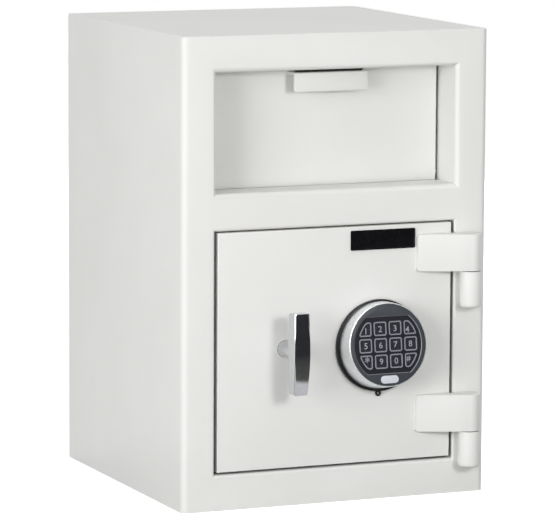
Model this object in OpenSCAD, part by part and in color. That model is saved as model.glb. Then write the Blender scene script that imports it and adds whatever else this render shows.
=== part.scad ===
// Front-loading deposit safe: tilting hopper above, lever-and-keypad door below.
// The front faces -Y, +X is to the right seen from the front, +Z is up.
// The origin is on the floor under the middle of the body.

/* [Body] */
// Width of the body over its side panels
body_w = 356; // [345:1:430]
// Depth of the body from the front face to the back face
body_d = 356; // [320:1:450]
// Height of the body
body_h = 508; // [490:1:640]
// Thickness of the body sheets
sheet_t = 4; // [3:0.5:5]
// Outside radius of the four upright body edges
edge_r = 7.5; // [6:0.5:10]
// Bevel along the top edges of the body
top_bevel = 1; // [0.5:0.1:1.5]

/* [Front frame] */
// Face width of the frame at the sides, top and bottom
frame_margin = 37.5; // [34:0.5:42]
// Face height between the recess and the door
mullion_h = 40; // [36:1:50]
// Height of the hopper recess
recess_h = 130; // [120:1:140]
// Depth from the front face to the hopper panel
recess_d = 45; // [38:1:50]
// Radius of the folded edge round the recess
recess_edge_r = 6; // [5:0.5:7]
// Radius of the folded edge round the door opening
door_edge_r = 4; // [3:0.5:5]
// Depth of the folded return round the door opening
return_d = 18; // [17:0.5:20]
// Depth of the folded lip round the recess
lip_d = 8; // [7.5:0.5:10]
// Thickness of the returns, the lip and the hopper housing sheets
return_t = 3; // [2:0.5:3.5]

/* [Floor anchors] */
// Spacing of the anchor holes across the floor
anchor_x = 230; // [180:5:260]
// Spacing of the anchor holes front to back
anchor_y = 230; // [180:5:260]
// Diameter of the anchor holes
anchor_dia = 13; // [9:0.5:16]

/* [Hopper] */
// Gap at each end of the hopper panel
hopper_gap = 2.7; // [2:0.1:3.5]
// Thickness of the hopper panel
panel_t = 3; // [2:0.5:4]
// Gap over the hopper panel
panel_top_gap = 3; // [2.5:0.5:4]
// Gap under the hopper panel
panel_foot_gap = 2; // [1.5:0.5:3]
// Thickness of the tray and the cheeks
tray_t = 2.5; // [2:0.5:3]
// Length of the tray behind the pivot
tray_len = 88; // [76:1:92]
// Slope of the closed tray
tray_slope = 25; // [22:1:28]
// Diameter of the hopper pivot studs
pivot_dia = 8; // [6:0.5:9]
// Width of the hopper handle
handle_w = 86; // [60:1:120]
// Height of the hopper handle's front lip
handle_h = 22; // [18:1:30]
// How far the hopper handle stands off its panel
handle_proud = 20; // [17:1:24]
// Thickness of the hopper handle's sheet
handle_t = 3; // [2:0.5:3.5]

/* [Door] */
// Thickness of the door plate
door_t = 10; // [8:0.5:11]
// Gap on the latch side of the door
latch_gap = 1.8; // [1.6:0.1:2.5]
// Gap on the hinge side of the door
hinge_gap = 4; // [3:0.5:5]
// Gap over the door
door_top_gap = 1.6; // [1:0.1:3]
// Gap under the door
door_foot_gap = 2.8; // [1:0.1:4]
// Radius of the front edges of the door plate
door_round = 1.2; // [0.8:0.1:2]
// Width of the name plate
plate_w = 76; // [60:1:80]
// Height of the name plate
plate_h = 21.5; // [16:0.5:24]
// Drop from the top of the door opening to the middle of the name plate
plate_drop = 16.5; // [14:0.5:24]

/* [Hinges] */
// Diameter of the hinge barrels
barrel_dia = 25; // [22:0.5:26]
// Distance of the hinge axis from the right side of the body
hinge_inset = 25.5; // [23:0.5:27]
// Distance of the hinge axis from the front face
hinge_proud = 14; // [13.5:0.5:16]
// Height of the door half of a hinge
strap_h = 41.5; // [36:0.5:46]
// Height of the body half of a hinge
barrel_h = 38.5; // [30:0.5:42]
// Distance from the hinge axis to the toe of the strap
strap_reach = 59.5; // [50:0.5:61]
// Thickness of the strap at its toe
toe_t = 4; // [3:0.5:6]
// Diameter of the hinge pins
pin_dia = 10; // [8:0.5:12]
// Thickness of the washer between the two halves
washer_t = 1; // [0.8:0.1:2]
// Drop from the top of the door opening to the upper hinge
upper_hinge_drop = 11.5; // [8:0.5:20]
// Distance that the lower hinge hangs below the door opening
lower_hinge_hang = 5.5; // [2:0.5:12]

/* [Lever] */
// Distance of the lever from the body's centre line
lever_x = -59.5; // [-64:0.5:-56]
// Height of the lever and keypad over the middle of the door opening
lock_rise = 2; // [-6:0.5:8]
// Length of the lever bar
lever_len = 88; // [76:1:96]
// Width of the lever bar at its middle
lever_w = 17.5; // [15:0.5:19]
// Width of the lever bar at its ends
lever_end_w = 14.5; // [12:0.5:15]
// Thickness of the lever bar at its middle
lever_thick = 18; // [15:0.5:20]
// How far the lever stands off the door
lever_proud = 48; // [42:1:55]
// How far the lever's front face falls back at its ends
lever_bow = 5; // [3:0.5:6]
// Diameter of the lever shaft
shaft_dia = 18; // [15:0.5:19]

/* [Boltwork] */
// Diameter of the locking bolts
bolt_dia = 18; // [14:0.5:19]
// Travel of the locking bolts
bolt_throw = 16; // [14:0.5:17]
// Play between the bolts and the frame's return
bolt_play = 1.2; // [1:0.1:2]
// Distance of the outer bolts from the top and the bottom of the door
bolt_inset = 45; // [40:1:55]
// Diameter of the cam pin
cam_pin_dia = 6; // [5:0.5:7]

/* [Keypad] */
// Distance of the keypad from the body's centre line
keypad_x = 49.2; // [46:0.2:50]
// Diameter of the keypad's base ring
base_dia = 97.8; // [97:0.2:102]
// Height of the keypad's base ring
base_t = 5; // [4:0.5:6]
// Height of the keypad over the door
keypad_h = 27; // [26:0.5:30]
// Diameter of the keypad's front plate
fascia_dia = 87; // [86:0.2:88]
// Upward tilt of the keypad's face
face_tilt = 7; // [5:0.5:8]
// Width of a key
key_w = 15; // [13:0.1:15.2]
// Height of a key
key_h = 15.2; // [13:0.1:15.4]
// Column spacing of the keys
key_pitch_x = 17.5; // [17.2:0.1:17.8]
// Row spacing of the keys
key_pitch_z = 17.5; // [17.2:0.1:17.8]
// Radius of the circle that trims the outer keys
key_field_r = 35.5; // [35:0.1:36.5]
// Travel of a key
key_travel = 1.2; // [0.8:0.1:1.5]

/* [Hidden] */
$fn = 64;
fit = 0.05;
seat = 0.3;
front = -body_d / 2;
back = body_d / 2;
side = body_w / 2;
open_x = side - frame_margin;
recess_top = body_h - frame_margin;
recess_foot = recess_top - recess_h;
door_top = recess_foot - mullion_h;
door_foot = frame_margin;
door_mid = (door_top + door_foot) / 2;
bend_r = max(edge_r - sheet_t, 1);
skin = 0.01;

panel_y = front + recess_d;
panel_x = open_x - hopper_gap;
panel_z0 = recess_foot + panel_foot_gap;
panel_z1 = recess_top - panel_top_gap;
pivot_back = panel_t + pivot_dia / 2 + 0.5;
pivot_rise = 6.5;
pivot_y = panel_y + pivot_back;
pivot_z = panel_z0 + pivot_rise;
tip_gap = 2.5;
cheek_x = panel_x - tray_t;
baffle_y = pivot_y + tray_len + tip_gap;
housing_y0 = front + lip_d;
housing_y1 = baffle_y + 2 * return_t;
housing_drop = mullion_h - return_t - seat;
ceiling_reach = 22;
guard_gap = 3;
chute_drop = 14;
chute_short = 4;
baffle_rise = 14;
baffle_knee = 42;
baffle_lean = 9;
bumper_inset = 30;
bumper_w = 14;
bumper_d = 9;
stud_head_t = 4;
stud_rim = 3;
handle_drop = 1;
handle_bend = 4;
tray_drop = 1;
tray_gap = 1.5;
cheek_foot = 8;

leaf_x0 = -open_x + latch_gap;
leaf_x1 = open_x - hinge_gap;
leaf_z0 = door_foot + door_foot_gap;
leaf_z1 = door_top - door_top_gap;
leaf_back = front + door_t;
stop_gap = 1;
stop_w = 6;
stop_t = 4;
stop_inset = 30;
plate_t = 1;
plate_rim = 1.2;
rim_proud = 0.4;

hinge_x = side - hinge_inset;
hinge_y = front - hinge_proud;
barrel_r = barrel_dia / 2;
hinge_total = barrel_h + washer_t + strap_h;
upper_hinge_z = door_top - upper_hinge_drop - hinge_total;
lower_hinge_z = door_foot - lower_hinge_hang;
hinge_bases = [upper_hinge_z, lower_hinge_z];
barrel_bevel = 1;
barrel_leaf_t = 8;
barrel_leaf_cut = 8;
pin_foot = 6;
washer_inset = 2;
washer_play = 0.1;
strap_lift = 2.2;
strap_heel = 7;
strap_wall = 5;
toe_bevel = 1.2;

lock_z = door_mid + lock_rise;
lever_corner = 4;
bolt_y = front + return_d + bolt_play + bolt_dia / 2;
bolt_pitch = (leaf_z1 - leaf_z0) / 2 - bolt_inset;
bolt_set = 7.5;
bolt_rest_x = -open_x + bolt_set;
bolt_len = 30;
bolt_nose = 1.2;
screw_r = 3;
screw_len = 11;
screw_head_r = 5;
screw_head_t = 5;
hex_dia = 5;
hex_depth = 2.5;
tap_depth = 1;
bar_t = 8;
bar_x = bolt_rest_x + bolt_len;
bar_margin = 3;
guide_t = 5;
guide_set = 6;
guide_x = bolt_rest_x + guide_set;
guide_lip = 6;
guide_end = 14;
guide_foot_w = 12;
guide_foot_t = 2;
cam_r = bolt_throw / (2 * sin(45));
cam_rim = 3;
cam_d = 2 * (cam_r + cam_rim) + cam_pin_dia;
cam_t = 6;
cam_sink = 3;
pin_over = 1.5;
cam_play = 2.5;
tongue_t = 5;
tongue_h = 42;
cam_y = bolt_y - tongue_t / 2 - cam_play - cam_t;
slot_play = 0.03 * cam_r + 0.15;

bush_wall = 3;
bush_set = 4;
bush_flange = 5;
bush_flange_t = 3;

case_offset = 39.5;
case_x0 = lever_x + case_offset;
case_w = 85;
case_h = 61;
case_drop = 31;
case_z0 = lock_z - case_drop;
hard_t = 3;
hard_margin = 3;
case_y0 = leaf_back + hard_t;
case_t = 2.5;
case_d = 30;
case_hole_inset = 6;
case_hole_r = 2.4;
swing_inset = 10;
swing_x = case_x0 + swing_inset;
swing_z = case_z0 + swing_inset;
swing_pin_r = 3;
swing_boss = 2;
swing_w = 14;
swing_len = 26;
swing_t = 9.5;
swing_y = bolt_y - swing_t / 2;
tongue_gap = 1.5;
tongue_x1 = case_x0 - tongue_gap;
cover_t = 1.5;
cover_gap = 1;
cover_side = 16;
cover_room = 6;
cover_inset = 14;
cover_x0 = guide_x + guide_t + cover_gap;
cover_x1 = open_x - cover_side;
cover_y = case_y0 + case_d + cover_room;
cover_z0 = leaf_z0 + cover_inset;
cover_z1 = leaf_z1 - cover_inset;
flange_w = 12;
flange_set = 14;
cover_screw_r = 2;
cover_screw_len = 5.5;
cover_screw_inset = 40;
cover_head_r = 3.8;
cover_head_t = 2.2;
dead_inset = 22;
dead_t = 6;
dead_web = 2;
dead_grip = 4;
dead_play = 2.5;

ring_r = base_dia / 2;
ring_y = front - base_t;
face_y = front - keypad_h;
fascia_r = fascia_dia / 2;
ring_bevel = 1.2;
ring_step = 2.4;
shell_r0 = ring_r - ring_step;
shell_wall = 1.6;
shell_r1 = fascia_r + shell_wall;
shell_t = 2.6;
shell_foot = shell_r0 * sin(face_tilt);
shell_round = 0.4;
shell_rim = 1.4;
shell_ledge = 1.5;
fascia_t = 3;
field_sink = 0.7;
field_h = 61;
field_r = 41;
key_proud = 0.8;
key_gap = 0.35;
key_round = 2;
key_flange_t = 1.2;
key_flange_w = 0.7;
key_neck = 0.3;
badge_w = 21;
badge_h = 8.4;
badge_rise = 6.3;
badge_t = 0.6;
board_y = face_y + fascia_t + key_neck + key_flange_t + key_travel + seat;
board_t = 1.6;
board_margin = 2.5;
board_depth = front - board_y - board_t;
drawer_w = 31;
drawer_d = 17.8;
drawer_rise = 8.5;
drawer_z0 = lock_z - ring_r + drawer_rise;
drawer_h = 49;
drawer_gap = seat;
drawer_y0 = front - drawer_gap - drawer_d;
drawer_wall = 1.4;
drawer_mouth = 14;
drawer_trim = 0.4;
loop_r = 3.2;
loop_hole_r = 1.5;
loop_t = 2;
loop_hang = 3.4;
battery_w = 26.2;
battery_d = 16.4;
battery_h = 46;
battery_set = 1;
pole_r = 3;
pole_h = 2.2;
pole_pitch = 12.6;
cable_dia = 4;
cable_rise = 19;
cable_z = lock_z + cable_rise;
cable_lift = (cable_rise - board_depth * sin(face_tilt)) / cos(face_tilt);
cable_y0 = front - board_depth * cos(face_tilt) + (cable_lift + cable_dia / 2) * sin(face_tilt);
cable_hole_r = 4;
cable_end = 8;

// Box between two opposite corners
module block(a, b) {
    translate(a) cube([b[0] - a[0], b[1] - a[1], b[2] - a[2]]);
}

// Cylinder along Y from y0 to y1, round the point x, z
module rod_y(x, z, y0, y1, r) {
    translate([x, y0, z]) rotate([-90, 0, 0]) cylinder(r = r, h = y1 - y0);
}

// Cylinder along X from x0 to x1, round the point y, z
module rod_x(y, z, x0, x1, r) {
    translate([x0, y, z]) rotate([0, 90, 0]) cylinder(r = r, h = x1 - x0);
}

// Rectangle with round corners, centred
module round_rect(w, h, r) {
    square([w - 2 * r, h], center = true);
    square([w, h - 2 * r], center = true);
    for (i = [-1, 1], j = [-1, 1]) {
        translate([i * (w / 2 - r), j * (h / 2 - r)]) circle(r = r);
    }
}

// Outline in X and Z drawn as a solid from y0 back to y1
module slab_xz(y0, y1) {
    translate([0, y1, 0]) rotate([90, 0, 0]) linear_extrude(height = y1 - y0) children();
}

// Outline in Y and Z drawn as a solid from x0 to x1
module slab_yz(x0, x1) {
    translate([x0, 0, 0]) rotate([90, 0, 90]) linear_extrude(height = x1 - x0) children();
}

// Half width w of an opening at depth d whose front edge flares with radius r
module flare(w, r, d) {
    difference() {
        translate([-w - r, -1]) square([2 * w + 2 * r, d + 1]);
        for (i = [-1, 1]) {
            translate([i * (w + r), r]) circle(r = r);
            translate([i > 0 ? w : -w - r - 1, r]) square([r + 1, d]);
        }
    }
}

// Opening through the front frame, with folded edges that meet in mitres
module flared_opening(z0, z1, r, d) {
    half_h = (z1 - z0) / 2;
    mid = (z0 + z1) / 2;
    intersection() {
        translate([0, front, z0 - r]) linear_extrude(height = z1 - z0 + 2 * r) flare(open_x, r, d);
        translate([0, front, mid]) rotate([90, 0, 90])
            linear_extrude(height = 2 * (open_x + r), center = true) mirror([1, -1]) flare(half_h, r, d);
    }
}

// Plan of the body with round corners, shrunk by t all round
module body_plan(t) {
    round_rect(body_w - 2 * t, body_d - 2 * t, t > 0 ? bend_r : edge_r);
}

// One end of the folded body wall, from y0 to y1
module wall_end(y0, y1) {
    translate([0, 0, sheet_t]) linear_extrude(height = body_h - 2 * sheet_t) intersection() {
        difference() {
            body_plan(0);
            body_plan(sheet_t);
        }
        translate([-side - 1, y0]) square([body_w + 2, y1 - y0]);
    }
}

// Ring of sheet round an opening, from the front face to depth d
module return_ring(z0, z1, d) {
    block([-open_x - return_t, front + 0.5, z0 - return_t],
        [open_x + return_t, front + d, z1 + return_t]);
}

module front_frame() {
    color("#e6e7e2") difference() {
        union() {
            wall_end(front - 1, front + return_d);
            return_ring(recess_foot, recess_top, lip_d);
            return_ring(door_foot, door_top, return_d);
        }
        flared_opening(recess_foot, recess_top, recess_edge_r, return_d + 2);
        flared_opening(door_foot, door_top, door_edge_r, return_d + 2);
    }
}

module side_panel(s) {
    x0 = s > 0 ? side - sheet_t : -side;
    color("#dcddd8") block([x0, front + return_d, sheet_t],
        [x0 + sheet_t, back - return_d, body_h - sheet_t]);
}

module left_side() { side_panel(-1); }

module right_side() { side_panel(1); }

module back_plate() {
    color("#dcddd8") wall_end(back - return_d, back + 1);
}

module top_plate() {
    color("#dedfda") {
        translate([0, 0, body_h - sheet_t]) linear_extrude(height = sheet_t - top_bevel) body_plan(0);
        hull() {
            translate([0, 0, body_h - top_bevel - skin]) linear_extrude(height = skin) body_plan(0);
            translate([0, 0, body_h - skin]) linear_extrude(height = skin)
                round_rect(body_w - 2 * top_bevel, body_d - 2 * top_bevel, edge_r - top_bevel);
        }
    }
}

module floor_plate() {
    color("#dcddd8") difference() {
        linear_extrude(height = sheet_t) body_plan(0);
        for (i = [-1, 1], j = [-1, 1]) {
            translate([i * anchor_x / 2, j * anchor_y / 2, -1]) cylinder(d = anchor_dia, h = sheet_t + 2);
        }
    }
}

// Side walls of the hopper housing, with a bore for each pivot stud
module hopper_sides() {
    color("#e6e7e2") for (s = [-1, 1]) {
        x0 = s > 0 ? open_x : -open_x - return_t;
        difference() {
            block([x0, housing_y0, recess_foot - housing_drop],
                [x0 + return_t, housing_y1, body_h - sheet_t]);
            rod_x(pivot_y, pivot_z, x0 - 1, x0 + return_t + 1, pivot_dia / 2 + fit);
        }
    }
}

module hopper_ceiling() {
    y1 = pivot_y + ceiling_reach;
    color("#e6e7e2") {
        block([-open_x, housing_y0, recess_top], [open_x, y1, recess_top + return_t]);
        block([-open_x, y1 - return_t, recess_top + return_t], [open_x, y1, body_h - sheet_t]);
    }
}

// Sill of the recess, turned down behind the panel and sloped back under the tray
module chute_plate() {
    sill_y = panel_y - guard_gap;
    knee_z = recess_foot - chute_drop;
    run = tray_len * cos(tray_slope) - chute_short;
    fall = run * tan(tray_slope);
    color("#e6e7e2") slab_yz(-open_x, open_x) polygon([
        [housing_y0, recess_foot],
        [sill_y, recess_foot],
        [sill_y, knee_z],
        [sill_y + run, knee_z - fall],
        [sill_y + run, knee_z - fall - return_t],
        [sill_y - return_t, knee_z - return_t * 0.6],
        [sill_y - return_t, recess_foot - return_t],
        [housing_y0, recess_foot - return_t]
    ]);
}

// Bent plate behind the tray that closes the throat while the hopper is open
module fishing_baffle() {
    foot_z = pivot_z + baffle_rise;
    knee_z = pivot_z + baffle_knee;
    y0 = baffle_y - baffle_lean;
    color("#cfd0cb") slab_yz(-open_x, open_x) polygon([
        [baffle_y, foot_z],
        [y0, knee_z],
        [y0, body_h - sheet_t],
        [y0 + return_t, body_h - sheet_t],
        [y0 + return_t, knee_z],
        [baffle_y + return_t, foot_z]
    ]);
}

// Strips behind the door plate that stop it from being pushed in
module door_stops() {
    y0 = leaf_back + stop_gap;
    y1 = y0 + stop_t;
    x0 = stop_inset - open_x;
    color("#dcddd8") {
        block([x0, y0, door_top - stop_w], [open_x, y1, door_top]);
        block([x0, y0, door_foot], [open_x, y1, door_foot + stop_w]);
        block([open_x - stop_w, y0, door_foot + stop_w + seat], [open_x, y1, door_top - stop_w - seat]);
    }
}

// Lower hinge halves: a bored barrel on a leaf welded to the frame
module hinge_barrels() {
    leaf_w = hinge_x - open_x - door_edge_r;
    top_r = barrel_r - barrel_bevel;
    color("#ebece8") for (z = hinge_bases) {
        difference() {
            union() {
                translate([hinge_x, hinge_y, z]) {
                    cylinder(r1 = top_r, r2 = barrel_r, h = barrel_bevel);
                    translate([0, 0, barrel_bevel]) cylinder(r = barrel_r, h = barrel_h - 2 * barrel_bevel);
                    translate([0, 0, barrel_h - barrel_bevel])
                        cylinder(r1 = barrel_r, r2 = top_r, h = barrel_bevel);
                }
                slab_xz(front - barrel_leaf_t, front) polygon([
                    [hinge_x - leaf_w, z + barrel_leaf_cut],
                    [hinge_x, z + barrel_bevel],
                    [hinge_x, z + barrel_h - barrel_bevel],
                    [hinge_x - leaf_w, z + barrel_h - barrel_bevel]
                ]);
            }
            translate([hinge_x, hinge_y, z + pin_foot]) cylinder(r = pin_dia / 2 + fit, h = barrel_h);
        }
    }
}

module hinge_pins() {
    color("#9a9b9c") for (z = hinge_bases) {
        translate([hinge_x, hinge_y, z + pin_foot])
            cylinder(r = pin_dia / 2, h = hinge_total - 2 * pin_foot);
    }
}

module hinge_washers() {
    color("#b58d4a") for (z = hinge_bases) {
        translate([hinge_x, hinge_y, z + barrel_h]) difference() {
            cylinder(r = barrel_r - washer_inset, h = washer_t - washer_play);
            translate([0, 0, -1]) cylinder(r = pin_dia / 2 + fit, h = washer_t + 2);
        }
    }
}

// Shouldered studs that the hopper turns on
module hopper_pivots() {
    x1 = open_x + return_t;
    color("#9a9b9c") for (s = [-1, 1]) {
        mirror([s > 0 ? 0 : 1, 0, 0]) {
            rod_x(pivot_y, pivot_z, cheek_x + seat, x1, pivot_dia / 2);
            rod_x(pivot_y, pivot_z, x1, x1 + stud_head_t, pivot_dia / 2 + stud_rim);
        }
    }
}

// Rubber blocks under the ceiling that the closed panel rests against
module hopper_bumpers() {
    y0 = panel_y + panel_t + seat;
    color("#2a2a2b") for (s = [-1, 1]) {
        x = s * (panel_x - bumper_inset);
        block([x - bumper_w / 2, y0, recess_top - bumper_w], [x + bumper_w / 2, y0 + bumper_d, recess_top]);
    }
}

module hopper_panel() {
    color("#e4e5e0") block([-panel_x, panel_y, panel_z0], [panel_x, panel_y + panel_t, panel_z1]);
}

// Hooked pull: a top flange, a rounded fold and a front lip that hangs down
module hopper_handle() {
    top = panel_z1 - handle_drop;
    y0 = panel_y - handle_proud;
    r = handle_bend;
    color("#ebece8") slab_yz(-handle_w / 2, handle_w / 2) difference() {
        union() {
            translate([y0 + r, top - handle_t]) square([handle_proud - r, handle_t]);
            translate([y0, top - handle_h]) square([handle_t, handle_h - r]);
            intersection() {
                translate([y0 + r, top - r]) circle(r = r);
                translate([y0, top - r]) square(r);
            }
        }
        translate([y0 + r, top - r]) circle(r = r - handle_t);
    }
}

// Tray plate that slopes back from the foot of the panel
module hopper_tray() {
    y0 = panel_y + panel_t;
    y1 = pivot_y + tray_len * cos(tray_slope) - tray_gap;
    z0 = pivot_z - tray_drop + (pivot_y - y0) * tan(tray_slope);
    z1 = pivot_z - tray_drop - (y1 - pivot_y) * tan(tray_slope);
    thick = tray_t / cos(tray_slope);
    color("#d4d5d0") slab_yz(-cheek_x, cheek_x)
        polygon([[y0, z0], [y1, z1], [y1, z1 - thick], [y0, z0 - thick]]);
}

// Sector plates at the two ends of the tray
module hopper_cheeks() {
    y0 = panel_y + panel_t;
    y1 = pivot_y + tray_len;
    foot_z = pivot_z - cheek_foot;
    color("#d4d5d0") for (s = [-1, 1]) {
        x0 = s > 0 ? cheek_x : -panel_x;
        difference() {
            intersection() {
                rod_x(pivot_y, pivot_z, x0, x0 + tray_t, tray_len);
                slab_yz(x0 - 1, x0 + tray_t + 1) polygon([
                    [y0, panel_z0],
                    [pivot_y, foot_z],
                    [y1, foot_z - tray_len * tan(tray_slope)],
                    [y1, pivot_z + tray_len],
                    [y0, pivot_z + tray_len]
                ]);
            }
            rod_x(pivot_y, pivot_z, x0 - 1, x0 + tray_t + 1, pivot_dia / 2 + fit);
        }
    }
}

// Door leaf outline: a plate whose front edges are rounded and meet in mitres
module door_blank() {
    w = leaf_x1 - leaf_x0;
    h = leaf_z1 - leaf_z0;
    intersection() {
        translate([(leaf_x0 + leaf_x1) / 2, front, leaf_z0]) linear_extrude(height = h)
            rounded_front(w, door_round, door_t);
        translate([leaf_x0, front, (leaf_z0 + leaf_z1) / 2]) rotate([90, 0, 90])
            linear_extrude(height = w) mirror([1, -1]) rounded_front(h, door_round, door_t);
    }
}

// Section of a plate of width w whose two front edges have radius r
module rounded_front(w, r, d) {
    translate([-w / 2 + r, 0]) square([w - 2 * r, d]);
    translate([-w / 2, r]) square([w, d - r]);
    for (i = [-1, 1]) {
        translate([i * (w / 2 - r), r]) circle(r = r);
    }
}

module door_plate() {
    color("#e6e7e2") difference() {
        door_blank();
        rod_y(lever_x, lock_z, front - 1, leaf_back + 1, shaft_dia / 2 + seat);
        rod_y(lever_x, lock_z, front + bush_set, leaf_back + 1, shaft_dia / 2 + bush_wall);
        rod_y(keypad_x, cable_z, front - 1, leaf_back + 1, cable_hole_r);
        for (p = screw_points()) {
            rod_y(p[0], p[1], leaf_back - cover_screw_len - seat, leaf_back + 1, cover_screw_r + fit);
        }
    }
}

// Places of the four screws that hold the inner cover
function screw_points() = [
    for (x = [cover_x0 + cover_screw_inset, cover_x1 - cover_screw_inset],
        z = [cover_z0 + flange_w / 2, cover_z1 - flange_w / 2]) [x, z]
];

// Hinge half on the door: a strap that rises from its toe and wraps the pin
module strap(z0) {
    toe_x = hinge_x - strap_reach;
    lift_x = leaf_x1 - strap_heel;
    rise = hinge_proud - toe_t;
    lean = atan2(rise, strap_reach);
    span = sqrt(strap_reach * strap_reach + rise * rise);
    turn = lean + asin(barrel_r / span);
    tip = [hinge_x - barrel_r * sin(turn), hinge_y - barrel_r * cos(turn)];
    color("#ecede9") translate([0, 0, z0]) difference() {
        union() {
            translate([hinge_x, hinge_y, 0]) {
                cylinder(r = barrel_r, h = strap_h - barrel_bevel);
                translate([0, 0, strap_h - barrel_bevel])
                    cylinder(r1 = barrel_r, r2 = barrel_r - barrel_bevel, h = barrel_bevel);
            }
            linear_extrude(height = strap_h) polygon([
                [toe_x + toe_bevel, front],
                [toe_x, front - toe_bevel],
                [toe_x, front - toe_t + toe_bevel],
                [toe_x + toe_bevel, front - toe_t],
                tip,
                [hinge_x, hinge_y],
                [hinge_x - 3, front - strap_lift],
                [lift_x + strap_wall, front - strap_lift],
                [lift_x, front]
            ]);
        }
        translate([hinge_x, hinge_y, -1]) cylinder(r = pin_dia / 2 + fit, h = strap_h - strap_wall);
    }
}

module upper_strap() { strap(upper_hinge_z + barrel_h + washer_t); }

module lower_strap() { strap(lower_hinge_z + barrel_h + washer_t); }

// Blank plate near the top of the door, with a raised rim
module name_plate() {
    x = hinge_x - strap_reach - 1 - plate_w / 2;
    z = door_top - plate_drop;
    y0 = front - plate_t;
    color("#161618") slab_xz(y0, front) translate([x, z]) round_rect(plate_w, plate_h, 1);
    color("#161618") slab_xz(y0 - rim_proud, y0 + skin) translate([x, z]) difference() {
        round_rect(plate_w, plate_h, 1);
        round_rect(plate_w - 2 * plate_rim, plate_h - 2 * plate_rim, 0.5);
    }
}

// Hardened plate between the door and the lock
module hard_plate() {
    color("#77797c") difference() {
        block([case_x0 - hard_margin, leaf_back, case_z0 - hard_margin],
            [case_x0 + case_w + hard_margin, case_y0, case_z0 + case_h + hard_margin]);
        rod_y(keypad_x, cable_z, leaf_back - 1, case_y0 + 1, cable_hole_r);
    }
}

module lever_bush() {
    color("#c09a50") difference() {
        union() {
            rod_y(lever_x, lock_z, front + bush_set, leaf_back, shaft_dia / 2 + bush_wall - fit);
            rod_y(lever_x, lock_z, leaf_back, leaf_back + bush_flange_t, shaft_dia / 2 + bush_flange);
        }
        rod_y(lever_x, lock_z, front, leaf_back + bush_flange_t + 1, shaft_dia / 2 + fit);
    }
}

// Bolt heights, from the lowest up
function bolt_heights() = [for (i = [-1, 0, 1]) lock_z + i * bolt_pitch];

// Angle bracket on the door with a bore for each locking bolt
module bolt_guide() {
    z0 = lock_z - bolt_pitch - guide_end;
    z1 = lock_z + bolt_pitch + guide_end;
    color("#a9abad") difference() {
        union() {
            block([guide_x, leaf_back, z0], [guide_x + guide_t, bolt_y + bolt_dia / 2 + guide_lip, z1]);
            block([guide_x + guide_t, leaf_back, z0],
                [guide_x + guide_t + guide_foot_w, leaf_back + guide_foot_t, z1]);
        }
        for (z = bolt_heights()) {
            rod_x(bolt_y, z, guide_x - 1, guide_x + guide_t + 1, bolt_dia / 2 + fit);
        }
    }
}

// Fixed bar that hooks behind the frame on the hinge side
module dead_bar() {
    x1 = open_x - dead_t - stop_w;
    y0 = front + return_d + dead_play;
    z0 = leaf_z0 + dead_inset;
    z1 = leaf_z1 - dead_inset;
    color("#a9abad") {
        block([x1 - dead_web, leaf_back, z0], [x1, y0 + dead_t, z1]);
        block([x1, y0, z0], [open_x + dead_grip, y0 + dead_t, z1]);
    }
}

// Folded cover over the boltwork and the lock
module inner_cover() {
    z0 = cover_z0 + flange_w;
    z1 = cover_z1 - flange_w;
    color("#d9dad5") difference() {
        union() {
            block([cover_x0, leaf_back, z0], [cover_x1, cover_y, z1]);
            block([cover_x0 + flange_set, leaf_back, cover_z0], [cover_x1, leaf_back + cover_t, cover_z1]);
        }
        block([cover_x0 - 1, leaf_back - 1, z0 + cover_t],
            [cover_x1 - cover_t, cover_y - cover_t, z1 - cover_t]);
        for (p = screw_points()) {
            rod_y(p[0], p[1], leaf_back - 1, leaf_back + cover_t + 1, cover_screw_r + fit);
        }
    }
}

module cover_screws() {
    y1 = leaf_back + cover_t;
    color("#8b8d90") for (p = screw_points()) {
        rod_y(p[0], p[1], leaf_back - cover_screw_len, y1, cover_screw_r);
        rod_y(p[0], p[1], y1, y1 + cover_head_t, cover_head_r);
    }
}

module lock_case() {
    color("#8f9092") difference() {
        block([case_x0, case_y0, case_z0], [case_x0 + case_w, case_y0 + case_d - case_t, case_z0 + case_h]);
        block([case_x0 + case_t, case_y0 + case_t, case_z0 + case_t],
            [case_x0 + case_w - case_t, case_y0 + case_d, case_z0 + case_h - case_t]);
        block([case_x0 - 1, swing_y - seat, swing_z - swing_w / 2 + 2],
            [case_x0 + case_t + 1, swing_y + swing_t + seat, swing_z + swing_len + swing_w / 2]);
        rod_y(keypad_x, cable_z, case_y0 - 1, case_y0 + case_t + 1, cable_hole_r);
    }
    color("#8f9092") rod_y(swing_x, swing_z, case_y0 + case_t, swing_y - seat, swing_pin_r + swing_boss);
    color("#8f9092") rod_y(swing_x, swing_z, swing_y - seat, case_y0 + case_d - case_t, swing_pin_r);
}

module lock_cover() {
    y0 = case_y0 + case_d - case_t;
    hole = case_hole_inset;
    color("#9c9da0") difference() {
        block([case_x0, y0, case_z0], [case_x0 + case_w, y0 + case_t, case_z0 + case_h]);
        for (i = [hole, case_w - hole], j = [hole, case_h - hole]) {
            rod_y(case_x0 + i, case_z0 + j, y0 + 1, y0 + case_t + 1, case_hole_r);
        }
    }
}

module swing_bolt() {
    color("#c9a45a") difference() {
        union() {
            rod_y(swing_x, swing_z, swing_y, swing_y + swing_t, swing_w / 2);
            block([swing_x - swing_w / 2, swing_y, swing_z],
                [swing_x + swing_w / 2, swing_y + swing_t, swing_z + swing_len]);
        }
        rod_y(swing_x, swing_z, swing_y - 1, swing_y + swing_t + 1, swing_pin_r + fit);
    }
}

// Radius of the arc through a chord of half length h with rise b
function arc_r(h, b) = (h * h + b * b) / (2 * b);

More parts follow.
